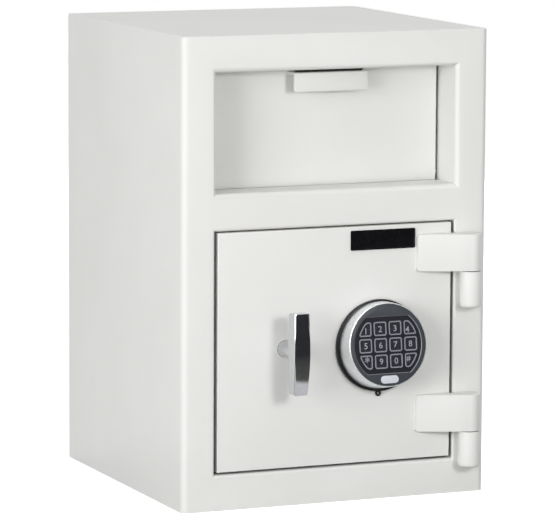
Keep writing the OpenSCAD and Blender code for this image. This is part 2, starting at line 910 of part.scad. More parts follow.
// Bowed lever bar, thickest and widest in the middle
module lever_grip() {
    half = lever_len / 2;
    y0 = front - lever_proud;
    bow_r = arc_r(half, lever_bow);
    taper = (lever_w - lever_end_w) / 2;
    side_r = arc_r(half, taper);
    color("#cfd2d6") intersection() {
        translate([lever_x, 0, lock_z]) slab_yz(-lever_w, lever_w) intersection() {
            translate([y0 + bow_r, 0]) circle(r = bow_r, $fn = 360);
            translate([y0 + lever_thick - half, 0]) round_rect(lever_len, lever_len, lever_corner);
        }
        translate([lever_x, 0, lock_z]) slab_xz(y0 - 1, y0 + lever_thick + 1) intersection() {
            translate([lever_w / 2 - side_r, 0]) circle(r = side_r, $fn = 360);
            translate([side_r - lever_w / 2, 0]) circle(r = side_r, $fn = 360);
            square([lever_w, lever_len], center = true);
        }
    }
}

module lever_shaft() {
    color("#cfd2d6") difference() {
        rod_y(lever_x, lock_z, front - lever_proud + lever_thick, cam_y, shaft_dia / 2);
        rod_y(lever_x, lock_z, cam_y - screw_len - tap_depth, cam_y + 1, screw_r + fit);
    }
}

// Disc on the shaft's inner end with the pin that drives the bolts
module lever_cam() {
    color("#a9abad") difference() {
        union() {
            rod_y(lever_x, lock_z, cam_y, cam_y + cam_t, cam_d / 2);
            rod_y(lever_x + cam_r * sin(45), lock_z - cam_r * cos(45), cam_y + cam_t,
                bolt_y + tongue_t / 2 + pin_over, cam_pin_dia / 2);
        }
        rod_y(lever_x, lock_z, cam_y - 1, cam_y + cam_t + 1, screw_r + fit);
        rod_y(lever_x, lock_z, cam_y + cam_t - cam_sink, cam_y + cam_t + 1, screw_head_r + 2 * fit);
    }
}

module cam_screw() {
    y0 = cam_y + cam_t - cam_sink;
    y1 = cam_y + cam_t - seat;
    color("#55575a") difference() {
        union() {
            rod_y(lever_x, lock_z, cam_y - screw_len, y0, screw_r);
            rod_y(lever_x, lock_z, y0, y1, screw_head_r);
        }
        slab_xz(y0 + seat, y1 + 1) translate([lever_x, lock_z]) circle(d = hex_dia, $fn = 6);
    }
}

// Upright bar behind the bolts with a slotted tongue that the cam pin moves
module bolt_carriage() {
    z0 = lock_z - bolt_pitch - bolt_dia / 2 - bar_margin;
    z1 = lock_z + bolt_pitch + bolt_dia / 2 + bar_margin;
    tongue_x0 = bar_x + bar_t;
    room = screw_head_r + seat;
    pin_x = lever_x + cam_r * sin(45);
    slot_w = cam_pin_dia + 2 * slot_play;
    slot_z0 = lock_z - cam_r - cam_pin_dia / 2 - 1;
    slot_z1 = lock_z - cam_r * cos(45) + cam_pin_dia / 2 + 1;
    color("#b4b6b8") difference() {
        union() {
            block([bar_x, bolt_y - bolt_dia / 2, z0], [tongue_x0, bolt_y + bolt_dia / 2, z1]);
            block([tongue_x0, bolt_y - tongue_t / 2, lock_z - tongue_h / 2],
                [tongue_x1, bolt_y + tongue_t / 2, lock_z + tongue_h / 2]);
        }
        slab_xz(bolt_y - tongue_t, bolt_y + tongue_t) translate([pin_x, (slot_z0 + slot_z1) / 2])
            round_rect(slot_w, slot_z1 - slot_z0, slot_w / 2 - 0.01);
        for (z = bolt_heights()) {
            rod_x(bolt_y, z, bar_x - 1, tongue_x0 + 1, screw_r + fit);
        }
        block([tongue_x0, bolt_y - tongue_t, lock_z - room],
            [tongue_x0 + room, bolt_y + tongue_t, lock_z + room]);
    }
}

module locking_bolts() {
    color("#d0d2d4") for (z = bolt_heights()) {
        difference() {
            union() {
                translate([bolt_rest_x, bolt_y, z]) rotate([0, 90, 0])
                    cylinder(r1 = bolt_dia / 2 - bolt_nose, r2 = bolt_dia / 2, h = bolt_nose);
                rod_x(bolt_y, z, bolt_rest_x + bolt_nose, bar_x, bolt_dia / 2);
            }
            rod_x(bolt_y, z, bar_x - screw_len - tap_depth, bar_x + 1, screw_r + fit);
        }
    }
}

module bolt_screws() {
    x1 = bar_x + bar_t;
    color("#55575a") for (z = bolt_heights()) {
        difference() {
            union() {
                rod_x(bolt_y, z, bar_x - screw_len, x1, screw_r);
                rod_x(bolt_y, z, x1, x1 + screw_head_t, screw_head_r);
            }
            translate([x1 + screw_head_t - hex_depth, bolt_y, z]) rotate([0, 90, 0])
                cylinder(d = hex_dia, h = hex_depth + 1, $fn = 6);
        }
    }
}

// Ring against the door, slotted for the battery drawer
module keypad_base() {
    color("#1a1a1c") difference() {
        union() {
            rod_y(keypad_x, lock_z, ring_y + ring_bevel, front, ring_r);
            rod_y(keypad_x, lock_z, ring_y, ring_y + ring_bevel, ring_r - ring_bevel);
        }
        rod_y(keypad_x, cable_z, ring_y - 1, front + 1, cable_hole_r);
        drawer_slot(seat);
    }
}

// Space that the battery drawer slides in, larger than the drawer by gap
module drawer_slot(gap) {
    block([keypad_x - drawer_w / 2 - gap, drawer_y0 - gap, lock_z - ring_r - 5],
        [keypad_x + drawer_w / 2 + gap, front + 1, drawer_z0 + drawer_h + 1]);
}

// What is drawn square to the door, turned up to the tilt of the keypad's face
module tilted() {
    translate([0, front, lock_z]) rotate([-face_tilt, 0, 0]) translate([0, -front, -lock_z]) children();
}

// Tapered metal shell of the keypad, cut off where it meets its ring
module keypad_housing() {
    color("#b9bcc0") difference() {
        tilted() translate([keypad_x, front, lock_z]) rotate([90, 0, 0]) rotate_extrude($fn = 128) polygon([
            [shell_r0 - shell_t, -shell_foot],
            [shell_r0, -shell_foot],
            [shell_r1 + shell_round, keypad_h - shell_rim],
            [shell_r1 - shell_round, keypad_h],
            [fascia_r + 2 * fit, keypad_h],
            [fascia_r + 2 * fit, keypad_h - fascia_t],
            [fascia_r - shell_ledge, keypad_h - fascia_t],
            [fascia_r - shell_ledge, keypad_h - fascia_t - shell_ledge]
        ]);
        block([keypad_x - base_dia, ring_y, lock_z - base_dia],
            [keypad_x + base_dia, front + keypad_h, lock_z + base_dia]);
        block([keypad_x - drawer_w / 2 - seat, drawer_y0 - seat, lock_z - ring_r - 5],
            [keypad_x + drawer_w / 2 + seat, front + 1, lock_z - ring_r + drawer_mouth]);
    }
}

// Places of the key columns and rows
function key_col(c) = keypad_x + (c - 1.5) * key_pitch_x;
function key_row(r) = lock_z + (1 - r) * key_pitch_z;

// Outline of one key, trimmed by the key field and larger by gap
module key_outline(c, r, gap) {
    intersection() {
        translate([key_col(c), key_row(r)]) round_rect(key_w + 2 * gap, key_h + 2 * gap, key_round);
        translate([keypad_x, lock_z]) circle(r = key_field_r + gap);
    }
}

module keypad_fascia() {
    color("#3a3c42") tilted() difference() {
        rod_y(keypad_x, lock_z, face_y, face_y + fascia_t, fascia_r);
        slab_xz(face_y - 1, face_y + field_sink) intersection() {
            translate([keypad_x, lock_z]) circle(r = field_r);
            translate([keypad_x, lock_z]) square([2 * field_r, field_h], center = true);
        }
        for (c = [0:3], r = [0:2]) {
            slab_xz(face_y - 1, face_y + fascia_t + 1) key_outline(c, r, key_gap);
        }
    }
}

module keypad_badge() {
    z = lock_z - fascia_r + badge_rise;
    color("#c9cbd6") tilted() slab_xz(face_y - badge_t, face_y)
        translate([keypad_x, z]) round_rect(badge_w, badge_h, badge_h / 2 - skin);
}

// Key cap c along, r down: a cap over a flange that stays behind the front plate
module key_cap(c, r) {
    y0 = face_y + field_sink - key_proud;
    y1 = face_y + fascia_t + key_neck;
    color("#26262c") tilted() {
        slab_xz(y0, y1) key_outline(c, r, 0);
        slab_xz(y1, y1 + key_flange_t) key_outline(c, r, key_flange_w);
    }
}

module key_1() { key_cap(0, 0); }
module key_2() { key_cap(1, 0); }
module key_3() { key_cap(2, 0); }
module key_4() { key_cap(3, 0); }
module key_5() { key_cap(0, 1); }
module key_6() { key_cap(1, 1); }
module key_7() { key_cap(2, 1); }
module key_8() { key_cap(3, 1); }
module key_star() { key_cap(0, 2); }
module key_9() { key_cap(1, 2); }
module key_0() { key_cap(2, 2); }
module key_hash() { key_cap(3, 2); }

module keypad_board() {
    color("#2f6b45") tilted() rod_y(keypad_x, lock_z, board_y, board_y + board_t, fascia_r - board_margin);
}

// Cable from the circuit board through the door to the lock
cable_points = [[0, cable_y0, 0], [0, ring_y, 0], [0, front, 0], [0, leaf_back, 0],
    [0, case_y0, 0], [0, case_y0 + cable_end, 0]];

// Ring of eight points round a centre, square to Y
function ring_at(p, r, n) = [
    for (i = [0 : n - 1]) [p[0] + r * cos(360 * i / n), p[1], p[2] + r * sin(360 * i / n)]
];

module keypad_cable() {
    n = 8;
    m = len(cable_points);
    points = [for (p = cable_points) for (q = ring_at(p, cable_dia / 2, n)) q];
    walls = [for (j = [0 : m - 2], i = [0 : n - 1])
        [j * n + i, j * n + (i + 1) % n, (j + 1) * n + (i + 1) % n, (j + 1) * n + i]];
    color("#1c1c1e") translate([keypad_x, 0, cable_z])
        polyhedron(points = points, faces = concat(
            [[for (i = [n - 1 : -1 : 0]) i]], walls, [[for (i = [0 : n - 1]) (m - 1) * n + i]]));
}

// Tray that holds the battery and slides out downwards, with its pull loop
module battery_drawer() {
    x0 = keypad_x - drawer_w / 2;
    z1 = drawer_z0 + drawer_h;
    y1 = drawer_y0 + drawer_d;
    loop_z = lock_z - ring_r - loop_hang;
    loop_y = y1 - drawer_gap;
    color("#1a1a1c") difference() {
        union() {
            block([x0, drawer_y0, drawer_z0], [x0 + drawer_w, y1, z1]);
            intersection() {
                block([x0, drawer_y0, lock_z - ring_r], [x0 + drawer_w, y1, drawer_z0 + skin]);
                union() {
                    rod_y(keypad_x, lock_z, ring_y, y1 + 1, ring_r - drawer_trim);
                    rod_y(keypad_x, lock_z, drawer_y0 - 1, ring_y + 1, shell_r1 - shell_wall);
                }
            }
            rod_y(keypad_x, loop_z, loop_y - loop_t, loop_y, loop_r);
            block([keypad_x - loop_t, loop_y - loop_t, loop_z + loop_t],
                [keypad_x + loop_t, loop_y, drawer_z0]);
        }
        block([x0 + drawer_wall, drawer_y0 - 1, drawer_z0 + drawer_wall],
            [x0 + drawer_w - drawer_wall, y1 - battery_set, z1 + 1]);
        rod_y(keypad_x, loop_z, loop_y - loop_t - 1, loop_y + 1, loop_hole_r);
    }
}

module battery() {
    y1 = drawer_y0 + drawer_d - battery_set;
    z0 = drawer_z0 + drawer_wall;
    color("#4a4d55") {
        block([keypad_x - battery_w / 2, y1 - battery_d, z0], [keypad_x + battery_w / 2, y1, z0 + battery_h]);
        for (i = [-1, 1]) {
            translate([keypad_x + i * pole_pitch / 2, y1 - battery_d / 2, z0 + battery_h])
                cylinder(r = pole_r, h = pole_h);
        }
    }
}

front_frame();
left_side();
right_side();
back_plate();
top_plate();
floor_plate();
hopper_sides();
hopper_ceiling();
chute_plate();
fishing_baffle();
door_stops();
hinge_barrels();
hinge_pins();
hinge_washers();
hopper_pivots();
hopper_bumpers();
hopper_panel();
hopper_handle();
hopper_tray();
hopper_cheeks();
door_plate();
upper_strap();
lower_strap();
name_plate();
hard_plate();
lever_bush();
bolt_guide();
dead_bar();
inner_cover();
cover_screws();
lock_case();
lock_cover();
lever_grip();
lever_shaft();
lever_cam();
cam_screw();
bolt_carriage();
locking_bolts();
bolt_screws();
swing_bolt();
keypad_base();
keypad_housing();
keypad_fascia();
keypad_badge();
keypad_board();
keypad_cable();
battery_drawer();
battery();
key_1();
key_2();
key_3();
key_4();
key_5();
key_6();
key_7();
key_8();
key_star();
key_9();
key_0();
key_hash();
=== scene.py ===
import math

import bmesh
import bpy
from mathutils import Matrix, Vector


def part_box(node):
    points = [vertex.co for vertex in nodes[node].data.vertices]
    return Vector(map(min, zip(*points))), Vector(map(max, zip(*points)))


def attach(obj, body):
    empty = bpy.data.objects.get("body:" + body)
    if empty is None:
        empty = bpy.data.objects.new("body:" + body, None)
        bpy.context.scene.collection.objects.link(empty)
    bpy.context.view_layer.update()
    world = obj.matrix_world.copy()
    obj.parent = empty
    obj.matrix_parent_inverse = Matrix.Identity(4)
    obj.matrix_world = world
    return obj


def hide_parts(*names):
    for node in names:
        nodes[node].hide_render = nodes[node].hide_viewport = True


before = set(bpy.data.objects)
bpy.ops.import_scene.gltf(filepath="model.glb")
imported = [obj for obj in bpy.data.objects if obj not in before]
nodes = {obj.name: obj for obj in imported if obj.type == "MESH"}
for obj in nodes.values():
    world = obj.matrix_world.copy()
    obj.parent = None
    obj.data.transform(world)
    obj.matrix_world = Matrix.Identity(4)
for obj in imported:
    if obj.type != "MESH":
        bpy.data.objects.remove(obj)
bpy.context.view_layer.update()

scene = bpy.context.scene
mm = 0.001
close = 0.1 * mm        # points nearer than this count as being at a place
beside = 1 * mm         # and nearer than this as being along an edge
print("frame loaded:", len(nodes), "nodes")


# Camera and studio

cameraSetup = {
    "azimuth": -23.08,      # degrees, from straight in front towards the left side
    "elevation": 7.87,      # degrees above level
    "roll": 0.29,           # degrees
    "distance": 4.331,      # metres from the aim point
    "aim": (0.0062, 0.0, 0.2407),
    "lens": 252.4,          # mm on a 36 mm wide sensor
}


def addCamera():
    az = math.radians(cameraSetup["azimuth"])
    el = math.radians(cameraSetup["elevation"])
    roll = math.radians(cameraSetup["roll"])
    back = Vector((math.sin(az) * math.cos(el), -math.cos(az) * math.cos(el), math.sin(el)))
    right = (-back).cross(Vector((0, 0, 1))).normalized()
    up = right.cross(-back)
    rolledRight = right * math.cos(roll) + up * math.sin(roll)
    rolledUp = up * math.cos(roll) - right * math.sin(roll)
    place = Vector(cameraSetup["aim"]) + back * cameraSetup["distance"]
    bpy.ops.object.camera_add(location=place)
    camera = bpy.context.object
    camera.matrix_world = Matrix((
        (rolledRight.x, rolledUp.x, back.x, place.x),
        (rolledRight.y, rolledUp.y, back.y, place.y),
        (rolledRight.z, rolledUp.z, back.z, place.z),
        (0, 0, 0, 1)))
    camera.data.lens = cameraSetup["lens"]
    camera.data.sensor_width = 36
    camera.data.clip_end = 100
    scene.camera = camera


studioSetup = {
    "worldStrength": 0.49,      # for plain surfaces; glossy ones and the camera see white
    "lampAim": (0, -0.15, 0.25),
    "lamps": [                  # name, watts, size and place
        ("keyLamp", 38.6, 1.4, (-2.2, -1.42, 0.60)),
        ("frontLamp", 9.9, 0.4, (0.15, -1.82, 0.70)),
        ("topLamp", 1.9, 0.8, (-0.3, -0.35, 1.6)),
        ("backLamp", 36, 1.6, (1.9, 1.9, 1.0)),
    ],
    "floorColour": (0.93, 0.93, 0.93),
    "floorBounce": (0.32, 0.32, 0.316),     # what the floor throws back on the safe
    "floorLift": 0.53,          # added for the camera, so that the bare floor is white
    "floorSize": 60,
    "cards": [                  # name, place, size, turn in degrees
        ("floorCard", (0.21, -1.475, 0.002), (3.6, 3.3), (0, 0, 23)),
        ("leftFloorCard", (-1.1, -1.95, 0.003), (1.2, 3.0), (0, 0, 0)),
        ("standingCard", (0.75, -2.7, 0.9), (2.6, 1.8), (90, 0, 0)),
        ("rightCard", (2.8, -1.6, 1.0), (3.0, 2.0), (90, 0, 90)),
    ],
    "darkCard": [               # shades along a card, from its far edge to its near one
        (0, (0.034, 0.034, 0.040)),
        (1, (0.036, 0.036, 0.042)),
    ],
    "floorDarkCard": [          # this one turns pale close to the safe
        (0.06, (0.034, 0.034, 0.040)),
        (0.287, (0.10, 0.098, 0.092)),
        (0.297, (0.74, 0.74, 0.75)),
        (0.42, (0.56, 0.56, 0.57)),
    ],
}


def addLamp(name, watts, size, place):
    aim = Vector(studioSetup["lampAim"]) - Vector(place)
    turn = aim.to_track_quat("-Z", "Y").to_euler()
    bpy.ops.object.light_add(type="AREA", location=place, rotation=turn)
    lamp = bpy.context.object
    lamp.name = name
    lamp.data.energy = watts
    lamp.data.shape = "DISK"
    lamp.data.size = size
    lamp.visible_camera = False
    lamp.visible_glossy = name != "backLamp"    # it would shine along the top otherwise


# 1 for camera, glossy and transmitted rays, 0 for the rest
def seenDirectly(tree):
    rays = tree.nodes.new("ShaderNodeLightPath")
    total = rays.outputs["Is Camera Ray"]
    for name in ("Is Glossy Ray", "Is Transmission Ray"):
        add = tree.nodes.new("ShaderNodeMath")
        add.operation = "MAXIMUM"
        tree.links.new(total, add.inputs[0])
        tree.links.new(rays.outputs[name], add.inputs[1])
        total = add.outputs[0]
    return total


def rangeOf(tree, value, low, high):
    spread = tree.nodes.new("ShaderNodeMapRange")
    spread.inputs["To Min"].default_value = low
    spread.inputs["To Max"].default_value = high
    tree.links.new(value, spread.inputs["Value"])
    return spread.outputs["Result"]


def addStudio():
    world = bpy.data.worlds.new("studioWorld")
    scene.world = world
    world.use_nodes = True
    tree = world.node_tree
    background = tree.nodes["Background"]
    background.inputs["Color"].default_value = (1, 1, 1, 1)
    tree.links.new(rangeOf(tree, seenDirectly(tree), studioSetup["worldStrength"], 1),
                   background.inputs["Strength"])
    for lampSettings in studioSetup["lamps"]:
        addLamp(*lampSettings)
    bpy.ops.mesh.primitive_plane_add(size=studioSetup["floorSize"])
    floor = bpy.context.object
    floor.name = "studioFloor"
    floor.data.materials.append(floorFinish())
    # cards that only gloss sees
    dark = cardFinish("darkCard", studioSetup["darkCard"])
    floorDark = cardFinish("floorDarkCard", studioSetup["floorDarkCard"])
    for name, place, size, degrees in studioSetup["cards"]:
        turn = [math.radians(angle) for angle in degrees]
        bpy.ops.mesh.primitive_plane_add(size=1, location=place, rotation=turn)
        card = bpy.context.object
        card.name = name
        card.scale = (*size, 1)
        card.data.materials.append(floorDark if name == "floorCard" else dark)
        card.visible_camera = False
        card.visible_diffuse = False
        card.visible_shadow = False
        card.visible_transmission = False


# Finishes

def newFinish(name):
    finish = bpy.data.materials.new(name)
    finish.use_nodes = True
    tree = finish.node_tree
    return finish, tree, tree.nodes["Principled BSDF"]


def objectCoords(tree, scale):
    coords = tree.nodes.new("ShaderNodeTexCoord")
    mapping = tree.nodes.new("ShaderNodeMapping")
    mapping.inputs["Scale"].default_value = scale
    tree.links.new(coords.outputs["Object"], mapping.inputs["Vector"])
    return mapping.outputs["Vector"]


def noiseOf(tree, vector, scale, detail=3, roughness=0.5):
    noise = tree.nodes.new("ShaderNodeTexNoise")
    noise.inputs["Scale"].default_value = scale
    noise.inputs["Detail"].default_value = detail
    noise.inputs["Roughness"].default_value = roughness
    tree.links.new(vector, noise.inputs["Vector"])
    return noise.outputs["Fac"]


def rampOf(tree, value, stops):
    ramp = tree.nodes.new("ShaderNodeValToRGB")
    elements = ramp.color_ramp.elements
    for i, (place, colour) in enumerate(stops):
        element = elements[i] if i < 2 else elements.new(place)
        element.position = place
        element.color = (*colour, 1)
    tree.links.new(value, ramp.inputs["Fac"])
    return ramp.outputs["Color"]


def addBump(tree, shader, height, strength, distance):
    bump = tree.nodes.new("ShaderNodeBump")
    bump.inputs["Strength"].default_value = strength
    bump.inputs["Distance"].default_value = distance
    tree.links.new(height, bump.inputs["Height"])
    tree.links.new(bump.outputs["Normal"], shader.inputs["Normal"])


paintSetup = {
    "pale": (0.778, 0.777, 0.760),
    "deep": (0.750, 0.749, 0.731),
    "roughness": (0.42, 0.52),
    "gloss": 0.34,
    "cloudScale": 9,        # slow change between the two shades
    "peelScale": 230,       # bumps a metre, the size of orange peel
    "peelStrength": 0.55,
    "peelDepth": 0.00010,
}


def powderCoat(name, tint=1.0):
    finish, tree, shader = newFinish(name)
    vector = objectCoords(tree, (1, 1, 1))
    cloud = noiseOf(tree, vector, paintSetup["cloudScale"], 4)
    pale = [c * tint for c in paintSetup["pale"]]
    deep = [c * tint for c in paintSetup["deep"]]
    tree.links.new(rampOf(tree, cloud, [(0.3, deep), (0.7, pale)]), shader.inputs["Base Color"])
    peel = noiseOf(tree, vector, paintSetup["peelScale"], 3, 0.5)
    tree.links.new(rangeOf(tree, peel, *paintSetup["roughness"]), shader.inputs["Roughness"])
    addBump(tree, shader, peel, paintSetup["peelStrength"], paintSetup["peelDepth"])
    shader.inputs["Specular IOR Level"].default_value = paintSetup["gloss"]
    return finish


def floorFinish():
    finish, tree, shader = newFinish("studioFloor")
    speck = noiseOf(tree, objectCoords(tree, (1, 1, 1)), 2.5, 2)
    base = studioSetup["floorColour"]
    seen = rampOf(tree, speck, [(0.3, [c * 0.995 for c in base]), (0.7, base)])
    mix = tree.nodes.new("ShaderNodeMixRGB")
    mix.inputs["Color1"].default_value = (*studioSetup["floorBounce"], 1)
    tree.links.new(seen, mix.inputs["Color2"])
    tree.links.new(seenDirectly(tree), mix.inputs["Fac"])
    tree.links.new(mix.outputs["Color"], shader.inputs["Base Color"])
    shader.inputs["Roughness"].default_value = 0.9
    shader.inputs["Specular IOR Level"].default_value = 0.1
    shader.inputs["Emission Color"].default_value = (1, 1, 1, 1)
    glow = rangeOf(tree, seenDirectly(tree), 0, studioSetup["floorLift"])
    tree.links.new(glow, shader.inputs["Emission Strength"])
    return finish


# A glow whose shade runs along the card, from its far edge to its near one
def cardFinish(name, stops):
    finish = bpy.data.materials.new(name)
    finish.use_nodes = True
    tree = finish.node_tree
    tree.nodes.clear()
    split = tree.nodes.new("ShaderNodeSeparateXYZ")
    coords = tree.nodes.new("ShaderNodeTexCoord")
    tree.links.new(coords.outputs["Object"], split.inputs["Vector"])
    glow = tree.nodes.new("ShaderNodeEmission")
    tree.links.new(rampOf(tree, split.outputs["Y"], stops), glow.inputs["Color"])
    out = tree.nodes.new("ShaderNodeOutputMaterial")
    tree.links.new(glow.outputs["Emission"], out.inputs["Surface"])
    return finish


chromeSetup = {
    "dark": (0.61, 0.62, 0.64),
    "light": (0.68, 0.69, 0.71),
    "roughness": (0.05, 0.11),
    "hazeScale": 160,
}


def polishedChrome():
    finish, tree, shader = newFinish("polishedChrome")
    vector = objectCoords(tree, (1, 1, 1))
    haze = noiseOf(tree, vector, chromeSetup["hazeScale"], 3)
    tree.links.new(rangeOf(tree, haze, *chromeSetup["roughness"]), shader.inputs["Roughness"])
    shade = rampOf(tree, haze, [(0.2, chromeSetup["dark"]), (0.8, chromeSetup["light"])])
    tree.links.new(shade, shader.inputs["Base Color"])
    shader.inputs["Metallic"].default_value = 1
    return finish


def satinMetal(name, dark, light, rough, grain=(1, 1, 1), scale=300):
    finish, tree, shader = newFinish(name)
    vector = objectCoords(tree, grain)
    streak = noiseOf(tree, vector, scale, 4, 0.6)
    tree.links.new(rampOf(tree, streak, [(0.25, dark), (0.75, light)]), shader.inputs["Base Color"])
    tree.links.new(rangeOf(tree, streak, *rough), shader.inputs["Roughness"])
    addBump(tree, shader, streak, 0.15, 0.00003)
    shader.inputs["Metallic"].default_value = 1
    return finish


def mouldedPlastic(name, dark, light, rough, gloss=0.5, scale=900, depth=0.00002):
    finish, tree, shader = newFinish(name)
    vector = objectCoords(tree, (1, 1, 1))
    grain = noiseOf(tree, vector, scale, 3)
    tree.links.new(rampOf(tree, grain, [(0.3, dark), (0.7, light)]), shader.inputs["Base Color"])
    tree.links.new(rangeOf(tree, grain, *rough), shader.inputs["Roughness"])
    addBump(tree, shader, grain, 0.3, depth)
    shader.inputs["Specular IOR Level"].default_value = gloss
    return finish


# For each: the darker and the lighter shade, the range of roughness, then grain and scale
metals = {
    "shellMetal": ((0.80, 0.825, 0.84), (0.93, 0.95, 0.96), (0.30, 0.42)),
    "zincSteel": ((0.42, 0.43, 0.44), (0.56, 0.57, 0.58), (0.28, 0.42), (1, 1, 6), 120),
    "blackSteel": ((0.03, 0.03, 0.032), (0.06, 0.06, 0.064), (0.35, 0.5)),
    "castZinc": ((0.33, 0.34, 0.35), (0.43, 0.44, 0.45), (0.4, 0.55), (1, 1, 1), 500),
    # bronze darkened nearly to black for the hinge washers: painted shadow in the gap between strap
    # and barrel
    "shadowBronze": ((0.035, 0.03, 0.025), (0.06, 0.05, 0.04), (0.4, 0.5)),
    "brass": ((0.56, 0.40, 0.15), (0.68, 0.50, 0.21), (0.22, 0.36)),
}

# The same two shades and roughness, then gloss, scale and depth of the grain
plastics = {
    "rubber": ((0.018, 0.018, 0.018), (0.03, 0.03, 0.03), (0.7, 0.85)),
    # near-black finish for the door stops and the strip over the hopper handle: painted shadow in
    # those gaps
    "shadowBlack": ((0.022, 0.022, 0.019), (0.030, 0.030, 0.026), (0.8, 0.9), 0.15, 700, 0.00003),
    "glossBlack": ((0.004, 0.004, 0.005), (0.007, 0.007, 0.008), (0.16, 0.24), 0.25, 300, 0.000005),
    "ringBlack": ((0.009, 0.009, 0.010), (0.014, 0.014, 0.015), (0.3, 0.42), 0.30),
    "fasciaGrey": ((0.042, 0.046, 0.056), (0.054, 0.059, 0.070), (0.3, 0.42), 0.4),
    "fieldDark": ((0.012, 0.012, 0.018), (0.018, 0.018, 0.026), (0.25, 0.35), 0.35),
    # pale finish on the sloping edge of the sunk key field: painted highlight where the step
    # catches light
    "fieldEdgeHighlight": ((0.29, 0.295, 0.32), (0.34, 0.345, 0.37), (0.2, 0.3)),
    "keyDark": ((0.018, 0.018, 0.024), (0.026, 0.026, 0.034), (0.2, 0.32)),
    "keyRim": ((0.22, 0.23, 0.27), (0.28, 0.29, 0.33), (0.25, 0.35)),
    "digitPale": ((0.28, 0.29, 0.33), (0.34, 0.35, 0.39), (0.35, 0.45)),
    "badgePale": ((0.60, 0.61, 0.68), (0.68, 0.69, 0.76), (0.2, 0.3)),
    "boardGreen": ((0.010, 0.085, 0.030), (0.016, 0.12, 0.045), (0.3, 0.4)),
    "batteryCase": ((0.05, 0.055, 0.065), (0.07, 0.075, 0.09), (0.25, 0.35)),
}

finishes = {
    "bodyPaint": powderCoat("bodyPaint"),
    # the body paint made a little darker for the straps, barrels and handle: painted shade, a
    # shaded copy of the same paint
    "strapShadedPaint": powderCoat("strapShadedPaint", 0.985),
    "innerPaint": powderCoat("innerPaint", 0.93),
    # a darker copy of the body paint for faces inside the door's gap: painted shade, the same paint
    # in a shaded copy
    "gapShadePaint": powderCoat("gapShadePaint", 0.62),
    "chrome": polishedChrome(),
}
for metal, settings in metals.items():
    finishes[metal] = satinMetal(metal, *settings)
for plastic, settings in plastics.items():
    finishes[plastic] = mouldedPlastic(plastic, *settings)

nodeFinishes = {
    "bodyPaint": ["front_frame", "left_side", "right_side", "back_plate", "top_plate",
                  "floor_plate", "door_plate", "hopper_panel", "hopper_sides", "hopper_ceiling",
                  "chute_plate"],
    "strapShadedPaint": ["hinge_barrels", "upper_strap", "lower_strap", "hopper_handle"],
    "innerPaint": ["fishing_baffle", "hopper_tray", "hopper_cheeks", "inner_cover"],
    # the door stops are black so the door's gap reads dark: painted shade
    "shadowBlack": ["door_stops"],
    "chrome": ["lever_grip", "lever_shaft"],
    "zincSteel": ["hinge_pins", "hopper_pivots", "bolt_guide", "dead_bar", "hard_plate",
                  "bolt_carriage", "locking_bolts", "lever_cam", "cover_screws"],
    "blackSteel": ["cam_screw", "bolt_screws"],
    "castZinc": ["lock_case", "lock_cover"],
    "brass": ["lever_bush", "swing_bolt"],
    "shadowBronze": ["hinge_washers"],
    "rubber": ["hopper_bumpers", "keypad_cable"],
    "glossBlack": ["name_plate"],
    "ringBlack": ["keypad_base", "battery_drawer"],
    "shellMetal": ["keypad_housing"],
    "fasciaGrey": ["keypad_fascia"],
    "badgePale": ["keypad_badge"],
    "boardGreen": ["keypad_board"],
    "batteryCase": ["battery"],
    "keyDark": [name for name in nodes if name.startswith("key_")],
}


def dressNodes():
    for finishName, names in nodeFinishes.items():
        for name in names:
            mesh = nodes[name].data
            mesh.materials.clear()
            mesh.materials.append(finishes[finishName])


# Modelling helpers

def pick(obj):
    if bpy.context.object and bpy.context.object.mode != "OBJECT":
        bpy.ops.object.mode_set(mode="OBJECT")
    bpy.ops.object.select_all(action="DESELECT")
    obj.select_set(True)
    bpy.context.view_layer.objects.active = obj


def fixPlace(obj):
    pick(obj)
    bpy.ops.object.transform_apply(location=True, rotation=True, scale=True)


def startEdit(obj):
    pick(obj)
    bpy.ops.object.mode_set(mode="EDIT")
    bpy.ops.mesh.select_mode(type="FACE")
    bpy.ops.mesh.select_all(action="DESELECT")


def endEdit():
    bpy.ops.object.mode_set(mode="OBJECT")


# Each of these three selects what its test accepts and nothing else
def chooseFaces(obj, test):
    bpy.ops.mesh.select_mode(type="FACE")
    bpy.ops.mesh.select_all(action="DESELECT")
    mesh = bmesh.from_edit_mesh(obj.data)
    for face in mesh.faces:
        if test(face.calc_center_median(), face.normal):
            face.select_set(True)
    bmesh.update_edit_mesh(obj.data)


def chooseEdges(obj, test):
    bpy.ops.mesh.select_mode(type="EDGE")
    bpy.ops.mesh.select_all(action="DESELECT")
    mesh = bmesh.from_edit_mesh(obj.data)
    for edge in mesh.edges:
        if test(edge):
            edge.select_set(True)
    bmesh.update_edit_mesh(obj.data)


def choosePoints(obj, test):
    bpy.ops.mesh.select_mode(type="VERT")
    bpy.ops.mesh.select_all(action="DESELECT")
    mesh = bmesh.from_edit_mesh(obj.data)
    for point in mesh.verts:
        if test(point.co):
            point.select_set(True)
    mesh.select_flush_mode()
    bmesh.update_edit_mesh(obj.data)


def movePoints(obj, move, test):
    choosePoints(obj, test)
    bpy.ops.transform.translate(value=move)


def alongAxis(edge, direction, least=0.9):
    line = edge.verts[1].co - edge.verts[0].co
    return line.length > 0 and abs(line.normalized().dot(Vector(direction))) > least


def folded(edge, degrees=30):
    return len(edge.link_faces) == 2 and edge.calc_face_angle(0) > math.radians(degrees)


def useModifier(obj, kind, **settings):
    pick(obj)
    modifier = obj.modifiers.new(kind.lower(), kind)
    for key, value in settings.items():
        setattr(modifier, key, value)
    bpy.ops.object.modifier_apply(modifier=modifier.name)


def roundEdges(obj, width, segments=3, degrees=35):
    useModifier(obj, "BEVEL", width=width, segments=segments, limit_method="ANGLE",
                angle_limit=math.radians(degrees))


